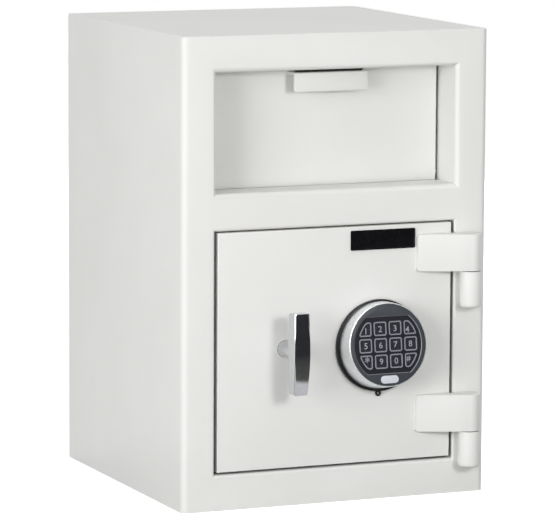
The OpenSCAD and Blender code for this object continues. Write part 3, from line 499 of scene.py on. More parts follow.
def smoothPiece(obj, degrees=32):
    pick(obj)
    bpy.ops.object.shade_smooth_by_angle(angle=math.radians(degrees))


def combine(obj, tool, operation):
    useModifier(obj, "BOOLEAN", object=tool, operation=operation, solver="EXACT")
    bpy.data.objects.remove(tool)


def addBox(name, low, high):
    bpy.ops.object.select_all(action="DESELECT")
    centre = [(a + b) / 2 for a, b in zip(low, high)]
    bpy.ops.mesh.primitive_cube_add(size=1, location=centre)
    box = bpy.context.object
    box.name = name
    box.scale = [b - a for a, b in zip(low, high)]
    fixPlace(box)
    return box


# A disc or rod along Y from yFront back to yBack
def addRod(name, x, z, yFront, yBack, radius, corners=160):
    bpy.ops.object.select_all(action="DESELECT")
    bpy.ops.mesh.primitive_cylinder_add(vertices=corners, radius=radius, depth=yBack - yFront,
                                        location=(x, (yFront + yBack) / 2, z),
                                        rotation=(math.radians(90), 0, 0))
    rod = bpy.context.object
    rod.name = name
    fixPlace(rod)
    return rod


# A closed ring turned about an axis along Y: profile is a list of (radius, y)
def addTurned(name, x, z, profile, corners=192):
    bpy.ops.object.select_all(action="DESELECT")
    bpy.ops.mesh.primitive_circle_add(vertices=corners, radius=profile[0][0],
                                      location=(x, profile[0][1], z),
                                      rotation=(math.radians(90), 0, 0))
    ring = bpy.context.object
    ring.name = name
    fixPlace(ring)
    startEdit(ring)
    bpy.ops.mesh.select_mode(type="EDGE")
    bpy.ops.mesh.select_all(action="SELECT")
    steps = list(zip(profile, profile[1:] + profile[:1]))
    for (radiusA, yA), (radiusB, yB) in steps:
        bpy.ops.mesh.extrude_edges_move(TRANSFORM_OT_translate={"value": (0, yB - yA, 0)})
        share = radiusB / radiusA
        bpy.ops.transform.resize(value=(share, 1, share), center_override=(x, yB, z))
    bpy.ops.mesh.select_all(action="SELECT")
    bpy.ops.mesh.remove_doubles(threshold=0.01 * mm)
    bpy.ops.mesh.normals_make_consistent(inside=False)
    endEdit()
    return ring


def placePiece(obj, finish, body, slot, *replaced):
    if finish:
        obj.data.materials.clear()
        obj.data.materials.append(finishes[finish])
    fixPlace(obj)
    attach(obj, body)
    if replaced:
        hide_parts(*replaced)


# Gives the faces that a test accepts a second finish
def paintFaces(obj, finish, test):
    obj.data.materials.append(finishes[finish])
    obj.active_material_index = len(obj.data.materials) - 1
    startEdit(obj)
    chooseFaces(obj, test)
    bpy.ops.object.material_slot_assign()
    endEdit()


# A copy of a CAD node as one clean skin, ready for its edges to be softened
def copyNode(node, name):
    skin = nodes[node].copy()
    skin.data = nodes[node].data.copy()
    skin.parent = None
    for key in [k for k in skin.keys() if k.startswith("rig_")]:
        del skin[key]
    skin.name = name
    scene.collection.objects.link(skin)
    startEdit(skin)
    bpy.ops.mesh.select_all(action="SELECT")
    bpy.ops.mesh.remove_doubles(threshold=0.001 * mm)
    bpy.ops.mesh.dissolve_limited(angle_limit=math.radians(0.5))
    endEdit()
    bpy.ops.mesh.customdata_custom_splitnormals_clear()
    return skin


# Sheet metal and hardware with the sharpness taken off: node, piece, body, slot, edge radius
softened = [
    ("front_frame", "cabinet_front", "body", "body_paint", 0),
    ("top_plate", "cabinet_top", "body", "body_paint", 0),
    ("door_plate", "door_leaf", "door", "body_paint", 0),
    ("battery_drawer", "battery_tray", "drawer", "ring_black", 0.35 * mm),
]

trim = {
    "doorEdge": 1.2 * mm,       # taken off the free edge of the door leaf
    "doorHinged": 0.8 * mm,     # and off its hinged edge
    "doorFoot": 1.1 * mm,       # the door's foot and the lip under it are both drawn higher
    "doorLip": 1.2 * mm,        # how far the lip beside the hinges is drawn inwards
    "recessTop": 1.6 * mm,      # how much lower the lip over the recess is drawn
    "recessLeft": 1.2 * mm,     # how far its left lip is drawn inwards
    "returnReach": 15 * mm,     # what moves with the free edge, its folded return too
    "doorReach": 5 * mm,        # what moves with the hinged edge, and with the foot
    "lipReach": 7 * mm,         # what moves with the lip over the recess
    "lipClear": 12 * mm,        # what stays of the frame's outside, and over the door
    "leftReach": 3 * mm,
    "frameReach": 9 * mm,       # what moves with the lips round the door
    "wallReach": 8 * mm,
}


def fitDoor(skin):
    low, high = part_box("door_plate")
    startEdit(skin)
    movePoints(skin, (trim["doorEdge"], 0, 0), lambda p: p.x < low.x + trim["returnReach"])
    movePoints(skin, (-trim["doorHinged"], 0, 0), lambda p: p.x > high.x - trim["doorReach"])
    movePoints(skin, (0, 0, trim["doorFoot"]), lambda p: p.z < low.z + trim["doorReach"])
    endEdit()
    # the door's free edge and its foot take the darker paint: painted shade in the gap
    paintFaces(skin, "gapShadePaint", lambda c, n: n.x < -0.9 or n.z < -0.9)


def fitFront(skin):
    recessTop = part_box("hopper_ceiling")[0].z
    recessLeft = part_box("hopper_panel")[0].x
    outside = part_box("front_frame")[0].x
    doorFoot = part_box("door_plate")[0].z
    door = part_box("door_plate")[1]
    overDoor = door.z + trim["lipClear"]
    startEdit(skin)
    movePoints(skin, (0, 0, -trim["recessTop"]),
               lambda p: abs(p.z - recessTop) < trim["lipReach"])
    movePoints(skin, (trim["recessLeft"], 0, 0), lambda p: p.z > overDoor
               and outside + trim["lipClear"] < p.x < recessLeft + trim["leftReach"])
    movePoints(skin, (-trim["doorLip"], 0, 0),
               lambda p: abs(p.x - door.x) < trim["frameReach"] and p.z < overDoor)
    movePoints(skin, (0, 0, trim["doorFoot"]),
               lambda p: abs(p.z - doorFoot) < trim["frameReach"])
    endEdit()
    # the frame's return beside the hinges takes the darker paint: painted shade in the gap
    paintFaces(skin, "gapShadePaint", lambda c, n: n.x < -0.9 and c.z < door.z
               and abs(c.x - door.x) < trim["wallReach"])


def makeSoftened():
    for node, name, body, slot, edge in softened:
        skin = copyNode(node, name)
        if name == "door_leaf":
            fitDoor(skin)
        if name == "cabinet_front":
            fitFront(skin)
        if name == "battery_tray":
            fitTray(skin)
        if edge:
            roundEdges(skin, edge, 3)
        smoothPiece(skin)
        placePiece(skin, None, body, slot, node)
    print("softened sheet parts:", len(softened))


# Lever: a bowed bar, widest in its middle, with soft edges

leverBar = {
    "levels": 28,
    "topBow": 2 * mm,       # how far the front falls back at the top
    "footBow": 5 * mm,
    "leftSwell": 0.8 * mm,
    "rightSwell": 0.4 * mm,
    "topWidth": 17.2 * mm,
    "footWidth": 16.4 * mm,
    "frontEdge": 1.9 * mm,
    "frontClear": 0.5 * mm, # behind the lowest point of the front
    "edge": 0.7 * mm,
    "heelCorner": 4 * mm,   # rounding of the back corners seen from the side
    "footCorner": 2.6 * mm, # rounding of the foot seen from the front
}


def makeLeverBar():
    low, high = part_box("lever_grip")
    low.x -= leverBar["leftSwell"]
    high.x += leverBar["rightSwell"]
    middle = (low + high) / 2
    half = (high.z - low.z) / 2
    bar = addBox("lever_bar", low, high)
    startEdit(bar)
    chooseEdges(bar, lambda e: alongAxis(e, (0, 0, 1)))
    bpy.ops.mesh.subdivide(number_cuts=leverBar["levels"] - 1)
    for i in range(leverBar["levels"] + 1):
        z = low.z + 2 * half * i / leverBar["levels"]
        share = ((z - middle.z) / half) ** 2
        endWidth = leverBar["topWidth"] if z > middle.z else leverBar["footWidth"]
        narrow = 1 - (1 - endWidth / (high.x - low.x)) * share
        choosePoints(bar, lambda p: abs(p.z - z) < close)
        bpy.ops.transform.resize(value=(narrow, 1, 1), center_override=(middle.x, low.y, z))
        bow = leverBar["topBow"] if z > middle.z else leverBar["footBow"]
        movePoints(bar, (0, bow * share, 0),
                   lambda p: abs(p.z - z) < close and p.y < low.y + beside)
    atEnd = lambda e: min(abs(abs(v.co.z - middle.z) - half) for v in e.verts) < close
    chooseEdges(bar, lambda e: alongAxis(e, (1, 0, 0)) and atEnd(e)
                and e.verts[0].co.y > high.y - beside)
    bpy.ops.mesh.bevel(offset=leverBar["heelCorner"], segments=8)
    chooseEdges(bar, lambda e: alongAxis(e, (0, 1, 0)) and atEnd(e) and folded(e)
                and e.verts[0].co.z < middle.z)
    bpy.ops.mesh.bevel(offset=leverBar["footCorner"], segments=6)
    frontMost = low.y + leverBar["footBow"] + leverBar["frontClear"]
    chooseEdges(bar, lambda e: folded(e, 50) and alongAxis(e, (0, 0, 1), 0.8)
                and max(v.co.y for v in e.verts) < frontMost)
    bpy.ops.mesh.bevel(offset=leverBar["frontEdge"], segments=5)
    endEdit()
    roundEdges(bar, leverBar["edge"], 4)
    smoothPiece(bar)
    placePiece(bar, "chrome", "lever", "lever_chrome", "lever_grip")
    print("lever bar made")


# Hinges: a strap that wraps its pin, over a barrel welded to the frame

hinge = {
    "radius": 12.5 * mm,
    "strapRadius": 11.8 * mm,   # drawn a little smaller than the knuckle allows
    "toeTrim": 1.1 * mm,
    "topTrim": 1.4 * mm,
    "barrelRadius": 12.1 * mm,
    "barrelShift": 0.7 * mm,    # away from the door
    "barrelDrop": 1.3 * mm,
    "barrelEdge": 0.8 * mm,
    "footRound": 4.2 * mm,
    "reach": 59.5 * mm,         # pin to toe
    "toe": 4 * mm,              # thickness at the toe
    "lift": 2.2 * mm,           # clearance of the strap over the frame
    "heel": 7 * mm,             # from the door's edge back to where the strap lifts
    "wall": 5 * mm,
    "edge": 1.2 * mm,
    "corner": 2.5 * mm,
    "barrelHeight": 38.5 * mm,
    "gap": 39.5 * mm,           # foot of a barrel to the foot of its strap
    "leafCut": 3 * mm,          # the welded leaf stops short of the barrel's foot and top
    "leafTop": 1 * mm,
    "leafHalf": 7 * mm,
}


def makeStrap(node, name):
    low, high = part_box(node)
    radius = hinge["strapRadius"]
    front = high.y
    axisX, axisY = high.x - hinge["radius"], low.y + hinge["radius"]
    low.x += hinge["toeTrim"]
    high.z -= hinge["topTrim"]
    rise = front - hinge["toe"] - axisY
    turn = math.atan2(rise, hinge["reach"]) + math.asin(radius / math.hypot(rise, hinge["reach"]))
    tipX, tipY = axisX - radius * math.sin(turn), axisY - radius * math.cos(turn)
    strap = addBox(name, (low.x, front - hinge["toe"], low.z), (tipX, front, high.z))
    startEdit(strap)
    movePoints(strap, (0, tipY - front + hinge["toe"], 0),
               lambda p: p.x > tipX - beside and p.y < front - beside)
    chooseFaces(strap, lambda c, n: n.x > 0.9)
    bpy.ops.mesh.extrude_region_move(TRANSFORM_OT_translate={"value": (axisX - tipX, 0, 0)})
    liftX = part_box("door_plate")[1].x - hinge["heel"]
    for cutX in (liftX, liftX + hinge["wall"]):
        bpy.ops.mesh.select_all(action="SELECT")
        bpy.ops.mesh.bisect(plane_co=(cutX, 0, 0), plane_no=(1, 0, 0))
    movePoints(strap, (0, -hinge["lift"], 0),
               lambda p: p.x > liftX + beside and p.y > front - beside)
    endEdit()
    bpy.ops.object.select_all(action="DESELECT")
    bpy.ops.mesh.primitive_cylinder_add(vertices=160, radius=radius, depth=high.z - low.z,
                                        location=(axisX, axisY, (low.z + high.z) / 2))
    combine(strap, bpy.context.object, "UNION")
    pick(strap)
    startEdit(strap)
    chooseEdges(strap, lambda e: alongAxis(e, (0, 1, 0)) and folded(e)
                and max(v.co.x for v in e.verts) < low.x + close)
    bpy.ops.mesh.bevel(offset=hinge["corner"], segments=6)
    endEdit()
    roundEdges(strap, hinge["edge"], 4)
    smoothPiece(strap)
    placePiece(strap, "strapShadedPaint", "door", "body_paint", node)


def makeBarrel(foot, name):
    low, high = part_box("hinge_barrels")
    radius = hinge["barrelRadius"]
    axisX, axisY = high.x - hinge["radius"] + hinge["barrelShift"], low.y + hinge["radius"]
    top = foot + hinge["barrelHeight"]
    foot -= hinge["barrelDrop"]
    bpy.ops.object.select_all(action="DESELECT")
    bpy.ops.mesh.primitive_cylinder_add(vertices=160, radius=radius, depth=top - foot,
                                        location=(axisX, axisY, (foot + top) / 2))
    barrel = bpy.context.object
    barrel.name = name
    fixPlace(barrel)
    startEdit(barrel)
    chooseEdges(barrel, lambda e: folded(e) and max(v.co.z for v in e.verts) < foot + close)
    bpy.ops.mesh.bevel(offset=hinge["footRound"], segments=7)
    endEdit()
    leaf = addBox("barrelLeaf", (axisX - hinge["leafHalf"], axisY, foot + hinge["leafCut"]),
                  (axisX + hinge["leafHalf"], high.y, top - hinge["leafTop"]))
    combine(barrel, leaf, "UNION")
    roundEdges(barrel, hinge["barrelEdge"], 3, 50)
    smoothPiece(barrel)
    placePiece(barrel, "strapShadedPaint", "body", "body_paint", "hinge_barrels")


def makeHinges():
    makeStrap("upper_strap", "hinge_strap_upper")
    makeStrap("lower_strap", "hinge_strap_lower")
    makeBarrel(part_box("upper_strap")[0].z - hinge["gap"], "hinge_barrel_upper")
    makeBarrel(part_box("hinge_barrels")[0].z, "hinge_barrel_lower")
    print("hinges made")


# Hopper handle: one folded strip with a soft fold and dulled edges

handle = {
    "sheet": 3 * mm,
    "fold": 2.4 * mm,
    "innerFold": 1 * mm,
    "edge": 0.6 * mm,
    "corner": 1.8 * mm,
    "shift": 3.1 * mm,
    "shorten": 0.3 * mm,        # at both ends
    "topDrop": 2.1 * mm,
    "footDrop": 1.1 * mm,
    "shadowStripDepth": 6 * mm,        # black strip under the recess's ceiling, over the handle: painted shadow in the gap there
    "shadowStripReach": 2 * mm,        # beyond the handle's left end
    "shadowStripShort": 1 * mm,        # before its right end
    "shadowStripTaper": 6 * mm,
    "shadowStripInset": 0.3 * mm,      # behind the handle's front
    "shadowStripGap": 0.25 * mm,       # over the handle's top
    "shadowStripEdge": 0.2 * mm,
}


def makeHandle():
    low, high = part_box("hopper_handle")
    low += Vector((handle["shift"] + handle["shorten"], 0, -handle["footDrop"]))
    high += Vector((handle["shift"] - handle["shorten"], 0, -handle["topDrop"]))
    sheet = handle["sheet"]
    strip = addBox("hopper_pull", low, (high.x, low.y + sheet, high.z))
    startEdit(strip)
    bpy.ops.mesh.select_all(action="SELECT")
    bpy.ops.mesh.bisect(plane_co=(0, 0, high.z - sheet), plane_no=(0, 0, 1))
    chooseFaces(strip, lambda c, n: n.y > 0.9 and c.z > high.z - sheet)
    depth = high.y - low.y - sheet
    bpy.ops.mesh.extrude_region_move(TRANSFORM_OT_translate={"value": (0, depth, 0)})
    near = lambda v, y, z: abs(v.co.y - y) < close and abs(v.co.z - z) < close
    chooseEdges(strip, lambda e: all(near(v, low.y, high.z) for v in e.verts))
    bpy.ops.mesh.bevel(offset=handle["fold"], segments=8)
    chooseEdges(strip, lambda e: all(near(v, low.y + sheet, high.z - sheet) for v in e.verts))
    bpy.ops.mesh.bevel(offset=handle["innerFold"], segments=4)
    chooseEdges(strip, lambda e: alongAxis(e, (0, 1, 0)) and folded(e)
                and e.verts[0].co.z < low.z + beside)
    bpy.ops.mesh.bevel(offset=handle["corner"], segments=5)
    endEdit()
    roundEdges(strip, handle["edge"], 3, 50)
    smoothPiece(strip)
    placePiece(strip, "strapShadedPaint", "hopper", "hopper_paint", "hopper_handle")
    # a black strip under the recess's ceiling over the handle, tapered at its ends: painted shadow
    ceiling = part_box("hopper_ceiling")[0].z
    left, right = low.x - handle["shadowStripReach"], high.x - handle["shadowStripShort"]
    shadowStrip = addBox("hopper_shadow_strip", (left, low.y + handle["shadowStripInset"], high.z + handle["shadowStripGap"]),
                  (right, low.y + handle["shadowStripDepth"], ceiling))
    startEdit(shadowStrip)
    for end, inward in ((left, handle["shadowStripTaper"]), (right, -handle["shadowStripTaper"])):
        movePoints(shadowStrip, (inward, 0, 0),
                   lambda p: abs(p.x - end) < close and p.z < ceiling - close)
    endEdit()
    roundEdges(shadowStrip, handle["shadowStripEdge"], 2)
    smoothPiece(shadowStrip)
    # black finish on the strip over the handle: painted shadow, not a rubber part
    placePiece(shadowStrip, "shadowBlack", "body", "rubber")
    print("hopper pull made")


# Front sheet of the hopper, which reaches down to the line of the sill

hopperFront = {
    "edge": 0.8 * mm,
    "rightTrim": 0.5 * mm,
    "footDrop": 2.5 * mm,
}


def makeHopperFront():
    low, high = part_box("hopper_panel")
    sheet = copyNode("hopper_panel", "hopper_front")
    startEdit(sheet)
    movePoints(sheet, (0, 0, -hopperFront["footDrop"]), lambda p: p.z < low.z + beside)
    movePoints(sheet, (-hopperFront["rightTrim"], 0, 0), lambda p: p.x > high.x - beside)
    endEdit()
    roundEdges(sheet, hopperFront["edge"], 3)
    smoothPiece(sheet)
    placePiece(sheet, "bodyPaint", "hopper", "hopper_paint", "hopper_panel")


# Name plate: blank, with a fine raised border

plate = {
    "corner": 1.4 * mm,
    "border": 1.1 * mm,
    "slope": 0.3 * mm,
    "sink": 0.4 * mm,
    "edge": 0.2 * mm,
}


def makeNamePlate():
    low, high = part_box("name_plate")
    blank = addBox("blank_plate", low, high)
    startEdit(blank)
    chooseEdges(blank, lambda e: alongAxis(e, (0, 1, 0)))
    bpy.ops.mesh.bevel(offset=plate["corner"], segments=5)
    chooseFaces(blank, lambda c, n: n.y < -0.9)
    bpy.ops.mesh.inset(thickness=plate["border"])
    bpy.ops.mesh.inset(thickness=plate["slope"])
    bpy.ops.transform.translate(value=(0, plate["sink"], 0))
    endEdit()
    roundEdges(blank, plate["edge"], 2)
    smoothPiece(blank)
    placePiece(blank, "glossBlack", "door", "plate_black", "name_plate")
    print("name plate made")


# Keypad head: drawn square to the door, then turned up about the door's face

keypad = {
    "tilt": 7,                  # degrees
    "height": 27 * mm,
    "ring": 50.2 * mm,
    "ringDrop": 1.9 * mm,       # the ring and the tray sit lower than the lock's centre
    "trayDrop": 2.2 * mm,
    "underside": 43 * mm,       # below the lock's centre: the tray's floor in front of the ring
    "footLow": 47.9 * mm,       # the tray's foot fills the ring's slot between these two
    "ringLow": 51.2 * mm,
    "footReach": 1.2 * mm,
    "faceDrop": 1.2 * mm,
    "ringThickness": 5 * mm,
    "ringEdge": 1.1 * mm,
    "slotWidth": 31.6 * mm,
    "slotOver": 1 * mm,         # room over the tray
    "cableHole": 3 * mm,
    "cutFar": 30 * mm,          # how far the cutting blocks reach past what they cut
    "cutNear": 5 * mm,
    "cutWide": 10 * mm,
    "shellBack": 48.1 * mm,
    "shellFront": 45.4 * mm,
    "shellWall": 2.6 * mm,
    "shellFoot": 5.7 * mm,      # behind the door's face, before the wall is cut along the ring
    "bead": 0.8 * mm,           # radius of the shell's rim
    "seatWidth": 1.6 * mm,      # ledge behind the face
    "seatDepth": 1.5 * mm,
    "mouthHeight": 14 * mm,     # of the shell's mouth for the drawer, from the ring's foot
    "mouthPlay": 0.3 * mm,
    "coverPlay": 0.25 * mm,
    "fascia": 44.2 * mm,
    "fasciaPlay": 0.1 * mm,
    "fasciaThickness": 3 * mm,
    "fasciaEdge": 0.3 * mm,
    "badgeEdge": 0.25 * mm,
    "field": 40.7 * mm,
    "fieldHeight": 63 * mm,
    "fieldSink": 0.7 * mm,
    "fieldSlope": 0.968,        # the floor of the field against its mouth
    "keyWidth": 15 * mm,
    "keyHeight": 15.2 * mm,
    "pitch": 17.7 * mm,
    "keyCircle": 35.5 * mm,
    "keyGap": 0.35 * mm,
    "keyCorner": 2.5 * mm,
    "keyProud": 0.8 * mm,       # above the field
    "keyRim": 1.15 * mm,
    "keySink": 0.22 * mm,
    "keySlope": 0.12 * mm,
    "crownWidth": 0.15 * mm,    # the rim stands this much in and forward
    "crownRise": 0.1 * mm,
    "neckBack": 0.3 * mm,       # behind the face, where the flange begins
    "flangeDepth": 1.2 * mm,
    "flangeReach": 0.7 * mm,
    "textSize": 10 * mm,
    "textDepth": 0.05 * mm,
    "textWeight": 0.1 * mm,
    "digitHeight": 6.6 * mm,
    "digitRise": 0.2 * mm,
    "starSize": 1.3,
    "hashSize": 0.8,
    "signShift": {              # mm to the right and up: signs of the cut-off keys
        "1": (0.6, -1.6), "4": (-3, -2), "*": (0.8, 2.6), "#": (-3, 1.4),
    },
}
keypadX = (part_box("keypad_base")[0].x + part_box("keypad_base")[1].x) / 2
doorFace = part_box("keypad_base")[1].y
lockZ = 0.171               # height of the lock and the lever
faceZ = lockZ - keypad["faceDrop"]
tilt = math.radians(keypad["tilt"])
facing = Vector((0, -math.cos(tilt), math.sin(tilt)))       # square to the keypad's face
upFace = Vector((0, math.sin(tilt), math.cos(tilt)))


def tiltUp(obj):
    pivot = Vector((0, doorFace, lockZ))
    turn = Matrix.Rotation(-tilt, 4, "X")
    turnUp = Matrix.Translation(pivot) @ turn @ Matrix.Translation(-pivot)
    obj.matrix_world = turnUp @ obj.matrix_world
    fixPlace(obj)


# Height of a point above the door's face, measured square to the keypad's face
def lift(point):
    return (point - Vector((0, doorFace, lockZ))).dot(facing)


# The tray's foot follows the ring, and its underside keeps clear of the cover in front of it
def fitTray(skin):
    ringFront = doorFace - keypad["ringThickness"]
    underside = lockZ - keypad["underside"]
    startEdit(skin)
    bpy.ops.mesh.select_all(action="SELECT")
    bpy.ops.transform.translate(value=(0, 0, -keypad["trayDrop"]))
    movePoints(skin, (0, 0, -keypad["footReach"]),
               lambda p: keypad["footLow"] < lockZ - p.z < keypad["ringLow"])
    choosePoints(skin, lambda p: keypad["underside"] < lockZ - p.z < keypad["footLow"]
                 and p.y < ringFront + close)
    bpy.ops.transform.resize(value=(1, 1, 0), center_override=(keypadX, doorFace, underside))
    endEdit()


def makeRing():
    ring = addRod("keypad_ring", keypadX, lockZ - keypad["ringDrop"],
                  doorFace - keypad["ringThickness"], doorFace, keypad["ring"], 192)
    roundEdges(ring, keypad["ringEdge"], 4)
    half = keypad["slotWidth"] / 2
    slotFoot = lockZ - keypad["ring"] - keypad["cutWide"]
    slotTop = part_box("battery_drawer")[1].z + keypad["slotOver"]
    front, back = doorFace - keypad["cutFar"], doorFace + keypad["cutNear"]
    slot = addBox("slot", (keypadX - half, front, slotFoot), (keypadX + half, back, slotTop))
    combine(ring, slot, "DIFFERENCE")
    low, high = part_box("keypad_cable")
    hole = addRod("cableHole", (low.x + high.x) / 2, (low.z + high.z) / 2, front, back,
                  keypad["cableHole"], 48)
    combine(ring, hole, "DIFFERENCE")
    smoothPiece(ring)
    placePiece(ring, "ringBlack", "door", "ring_black", "keypad_base")


def makeShell():
    top = doorFace - keypad["height"]
    foot = doorFace + keypad["shellFoot"]
    rim = keypad["fascia"] + keypad["fasciaPlay"]
    seat, seatY = rim - keypad["seatWidth"], top + keypad["fasciaThickness"]
    bead = keypad["bead"]
    beadX = keypad["shellFront"] - bead
    profile = [(keypad["shellBack"] - keypad["shellWall"], foot), (keypad["shellBack"], foot)]
    for i in range(9):
        turn = math.radians(90 * i / 8)
        profile.append((beadX + bead * math.cos(turn), top + bead - bead * math.sin(turn)))
    profile += [(rim, top), (rim, seatY), (seat, seatY), (seat, seatY + keypad["seatDepth"])]
    shell = addTurned("keypad_shell", keypadX, faceZ, profile)
    tiltUp(shell)
    reach = keypad["ring"] + keypad["cutWide"]
    behind = addBox("behindRing",
                    (keypadX - reach, doorFace - keypad["ringThickness"], faceZ - reach),
                    (keypadX + reach, doorFace + keypad["cutFar"], faceZ + reach))
    combine(shell, behind, "DIFFERENCE")
    # the share of the wall over the drawer's mouth becomes the tray's cover
    half, play = keypad["slotWidth"] / 2, keypad["coverPlay"]
    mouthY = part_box("battery_drawer")[0].y - keypad["mouthPlay"]
    mouthTop = faceZ - keypad["ring"] + keypad["mouthHeight"]
    back = doorFace + keypad["cutNear"]
    pick(shell)
    bpy.ops.object.duplicate()
    cover = bpy.context.object
    cover.name = "tray_cover"
    share = addBox("coverShare", (keypadX - half + play, mouthY + play, faceZ - reach),
                   (keypadX + half - play, back, mouthTop - play))
    combine(cover, share, "INTERSECT")
    smoothPiece(cover, 25)
    placePiece(cover, "shellMetal", "drawer", "shell_metal")
    mouth = addBox("drawerMouth", (keypadX - half, mouthY, faceZ - reach),
                   (keypadX + half, back, mouthTop))
    combine(shell, mouth, "DIFFERENCE")
    smoothPiece(shell, 25)
    placePiece(shell, "shellMetal", "door", "shell_metal", "keypad_housing")


# The outline of one key from yFront back to yBack, larger than the key by grow
def addKeyBlock(name, column, row, yFront, yBack, grow):
    x = keypadX + (column - 1.5) * keypad["pitch"]
    z = faceZ + (1 - row) * keypad["pitch"]
    halfX, halfZ = keypad["keyWidth"] / 2 + grow, keypad["keyHeight"] / 2 + grow
    block = addBox(name, (x - halfX, yFront, z - halfZ), (x + halfX, yBack, z + halfZ))
    if row != 1 and column in (0, 3):
        circle = addRod("keyCircle", keypadX, faceZ, yFront - beside, yBack + beside,
                        keypad["keyCircle"] + grow, 256)
        combine(block, circle, "INTERSECT")
    startEdit(block)
    onCorner = lambda e: alongAxis(e, (0, 1, 0)) and folded(e, 25)
    chooseEdges(block, onCorner)
    corners = [e.verts[0].co.xz for e in bmesh.from_edit_mesh(block.data).edges if e.select]
    # the arc is straightened near its corners, which leaves room to round them
    room = keypad["keyCorner"] + close
    chooseEdges(block, lambda e: alongAxis(e, (0, 1, 0)) and not onCorner(e)
                and min((e.verts[0].co.xz - c).length for c in corners) < room)
    bpy.ops.mesh.dissolve_edges()
    chooseEdges(block, onCorner)
    bpy.ops.mesh.bevel(offset=keypad["keyCorner"], segments=6)
    endEdit()
    return block


def addKeyCutter():
    front = doorFace - keypad["height"]
    yFront, yBack = front - 2 * beside, front + 2 * keypad["fasciaThickness"]
    blocks = [addKeyBlock("keyHole", column, row, yFront, yBack, keypad["keyGap"])
              for row in range(3) for column in range(4)]
    pick(blocks[0])
    for block in blocks:
        block.select_set(True)
    bpy.ops.object.join()
    return blocks[0]


# Front of the key field, sunk behind a sloping edge
def addFieldCutter():
    front = doorFace - keypad["height"]
    half, wide, past = keypad["fieldHeight"] / 2, keypad["ring"], keypad["cutNear"]
    field = addRod("field", keypadX, faceZ, front - beside, front + keypad["fieldSink"],
                   keypad["field"], 256)
    band = addBox("fieldBand", (keypadX - wide, front - past, faceZ - half),
                  (keypadX + wide, front + past, faceZ + half))
    combine(field, band, "INTERSECT")
    startEdit(field)
    chooseFaces(field, lambda c, n: n.y > 0.9)
    bpy.ops.transform.resize(value=(keypad["fieldSlope"], 1, keypad["fieldSlope"]),
                             center_override=(keypadX, front, faceZ))
    endEdit()
    return field


def makeFascia():
    front = doorFace - keypad["height"]
    face = addRod("keypad_face", keypadX, faceZ, front, front + keypad["fasciaThickness"],
                  keypad["fascia"], 256)
    roundEdges(face, keypad["fasciaEdge"], 3)
    combine(face, addFieldCutter(), "DIFFERENCE")
    combine(face, addKeyCutter(), "DIFFERENCE")
    face.data.materials.append(finishes["fasciaGrey"])
    sunk = front + keypad["fieldSink"]
    paintFaces(face, "fieldDark", lambda c, n: n.y < -0.9 and c.y > sunk - 3 * close)
    # the field's sloping edge is painted pale: painted highlight
    paintFaces(face, "fieldEdgeHighlight", lambda c, n: -0.97 < n.y < -0.3 and c.y < sunk
               and math.hypot(c.x - keypadX, c.z - faceZ) < keypad["field"] + 2 * close)
    tiltUp(face)
    smoothPiece(face, 25)
    placePiece(face, None, "door", "fascia_grey", "keypad_fascia")


def makeBadge():
    skin = copyNode("keypad_badge", "blank_badge")
    startEdit(skin)
    bpy.ops.mesh.select_all(action="SELECT")
    bpy.ops.transform.translate(value=-upFace * keypad["faceDrop"])
    endEdit()
    roundEdges(skin, keypad["badgeEdge"], 3)
    smoothPiece(skin)
    placePiece(skin, "badgePale", "door", "badge_pale", "keypad_badge")


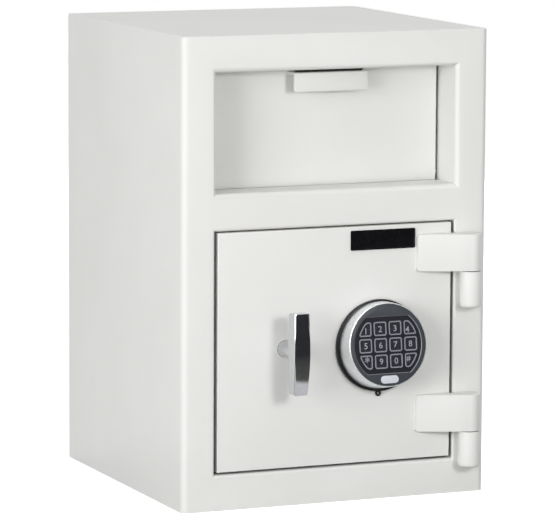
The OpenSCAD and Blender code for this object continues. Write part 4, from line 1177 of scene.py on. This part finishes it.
def makeKey(node, sign, column, row):
    front = doorFace - keypad["height"] + keypad["fieldSink"] - keypad["keyProud"]
    neck = doorFace - keypad["height"] + keypad["fasciaThickness"] + keypad["neckBack"]
    cap = addKeyBlock("cap_" + node[4:], column, row, front, neck, 0)
    flange = addKeyBlock("flange", column, row, neck - 0.1 * close, neck + keypad["flangeDepth"],
                         keypad["flangeReach"])
    combine(cap, flange, "UNION")
    startEdit(cap)
    chooseFaces(cap, lambda c, n: n.y < -0.99 and c.y < front + 0.5 * close)
    bpy.ops.mesh.inset(thickness=keypad["crownWidth"])
    bpy.ops.transform.translate(value=(0, -keypad["crownRise"], 0))
    bpy.ops.mesh.inset(thickness=keypad["keyRim"])
    bpy.ops.mesh.inset(thickness=keypad["keySlope"])
    bpy.ops.transform.translate(value=(0, keypad["keySink"], 0))
    endEdit()
    cap.data.materials.append(finishes["keyDark"])
    paintFaces(cap, "keyRim", lambda c, n: n.y < -0.3 and c.y < front + 0.2 * close)
    tiltUp(cap)
    smoothPiece(cap, 20)
    placePiece(cap, None, node, "key_dark", node)
    addDigit(node, sign, doorFace - front + keypad["crownRise"] - keypad["keySink"])


def addDigit(node, sign, height):
    low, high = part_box(node)
    bpy.ops.object.select_all(action="DESELECT")
    bpy.ops.object.text_add()
    label = bpy.context.object
    label.name = "digit_" + node[4:]
    label.data.body = sign
    label.data.size = keypad["textSize"]
    label.data.extrude = keypad["textDepth"]
    label.data.offset = keypad["textWeight"]
    label.data.resolution_u = 6
    bpy.ops.object.convert(target="MESH")
    points = [v.co for v in label.data.vertices]
    lowX, highX = min(p.x for p in points), max(p.x for p in points)
    lowY, highY = min(p.y for p in points), max(p.y for p in points)
    size = keypad["digitHeight"] / (highY - lowY)
    if not sign.isdigit():
        size = keypad["starSize"] if sign == "*" else keypad["hashSize"]
    middle = Vector(((lowX + highX) / 2, (lowY + highY) / 2, 0))
    centre = (low + high) / 2
    centre += facing * (height - lift(centre)) + upFace * (keypad["digitRise"] - keypad["faceDrop"])
    side = Vector((1, 0, 0))
    right, up = keypad["signShift"].get(sign, (0, 0))
    centre += side * right * mm + upFace * up * mm
    place = Matrix((
        (side.x, upFace.x, facing.x, centre.x),
        (side.y, upFace.y, facing.y, centre.y),
        (side.z, upFace.z, facing.z, centre.z),
        (0, 0, 0, 1)))
    label.matrix_world = place @ Matrix.Scale(size, 4) @ Matrix.Translation(-middle)
    placePiece(label, "digitPale", node, "key_dark")


def makeKeypad():
    makeRing()
    makeShell()
    makeFascia()
    makeBadge()
    nodeWords = {"*": "star", "#": "hash"}
    for i, sign in enumerate("12345678*90#"):
        makeKey("key_" + nodeWords.get(sign, sign), sign, i % 4, i // 4)
    print("keypad made")


addCamera()
addStudio()
dressNodes()
print("camera, studio and finishes are in place")
makeSoftened()
makeLeverBar()
makeHinges()
makeHandle()
makeHopperFront()
makeNamePlate()
makeKeypad()

scene.view_settings.view_transform = "Standard"
print("scene is ready")
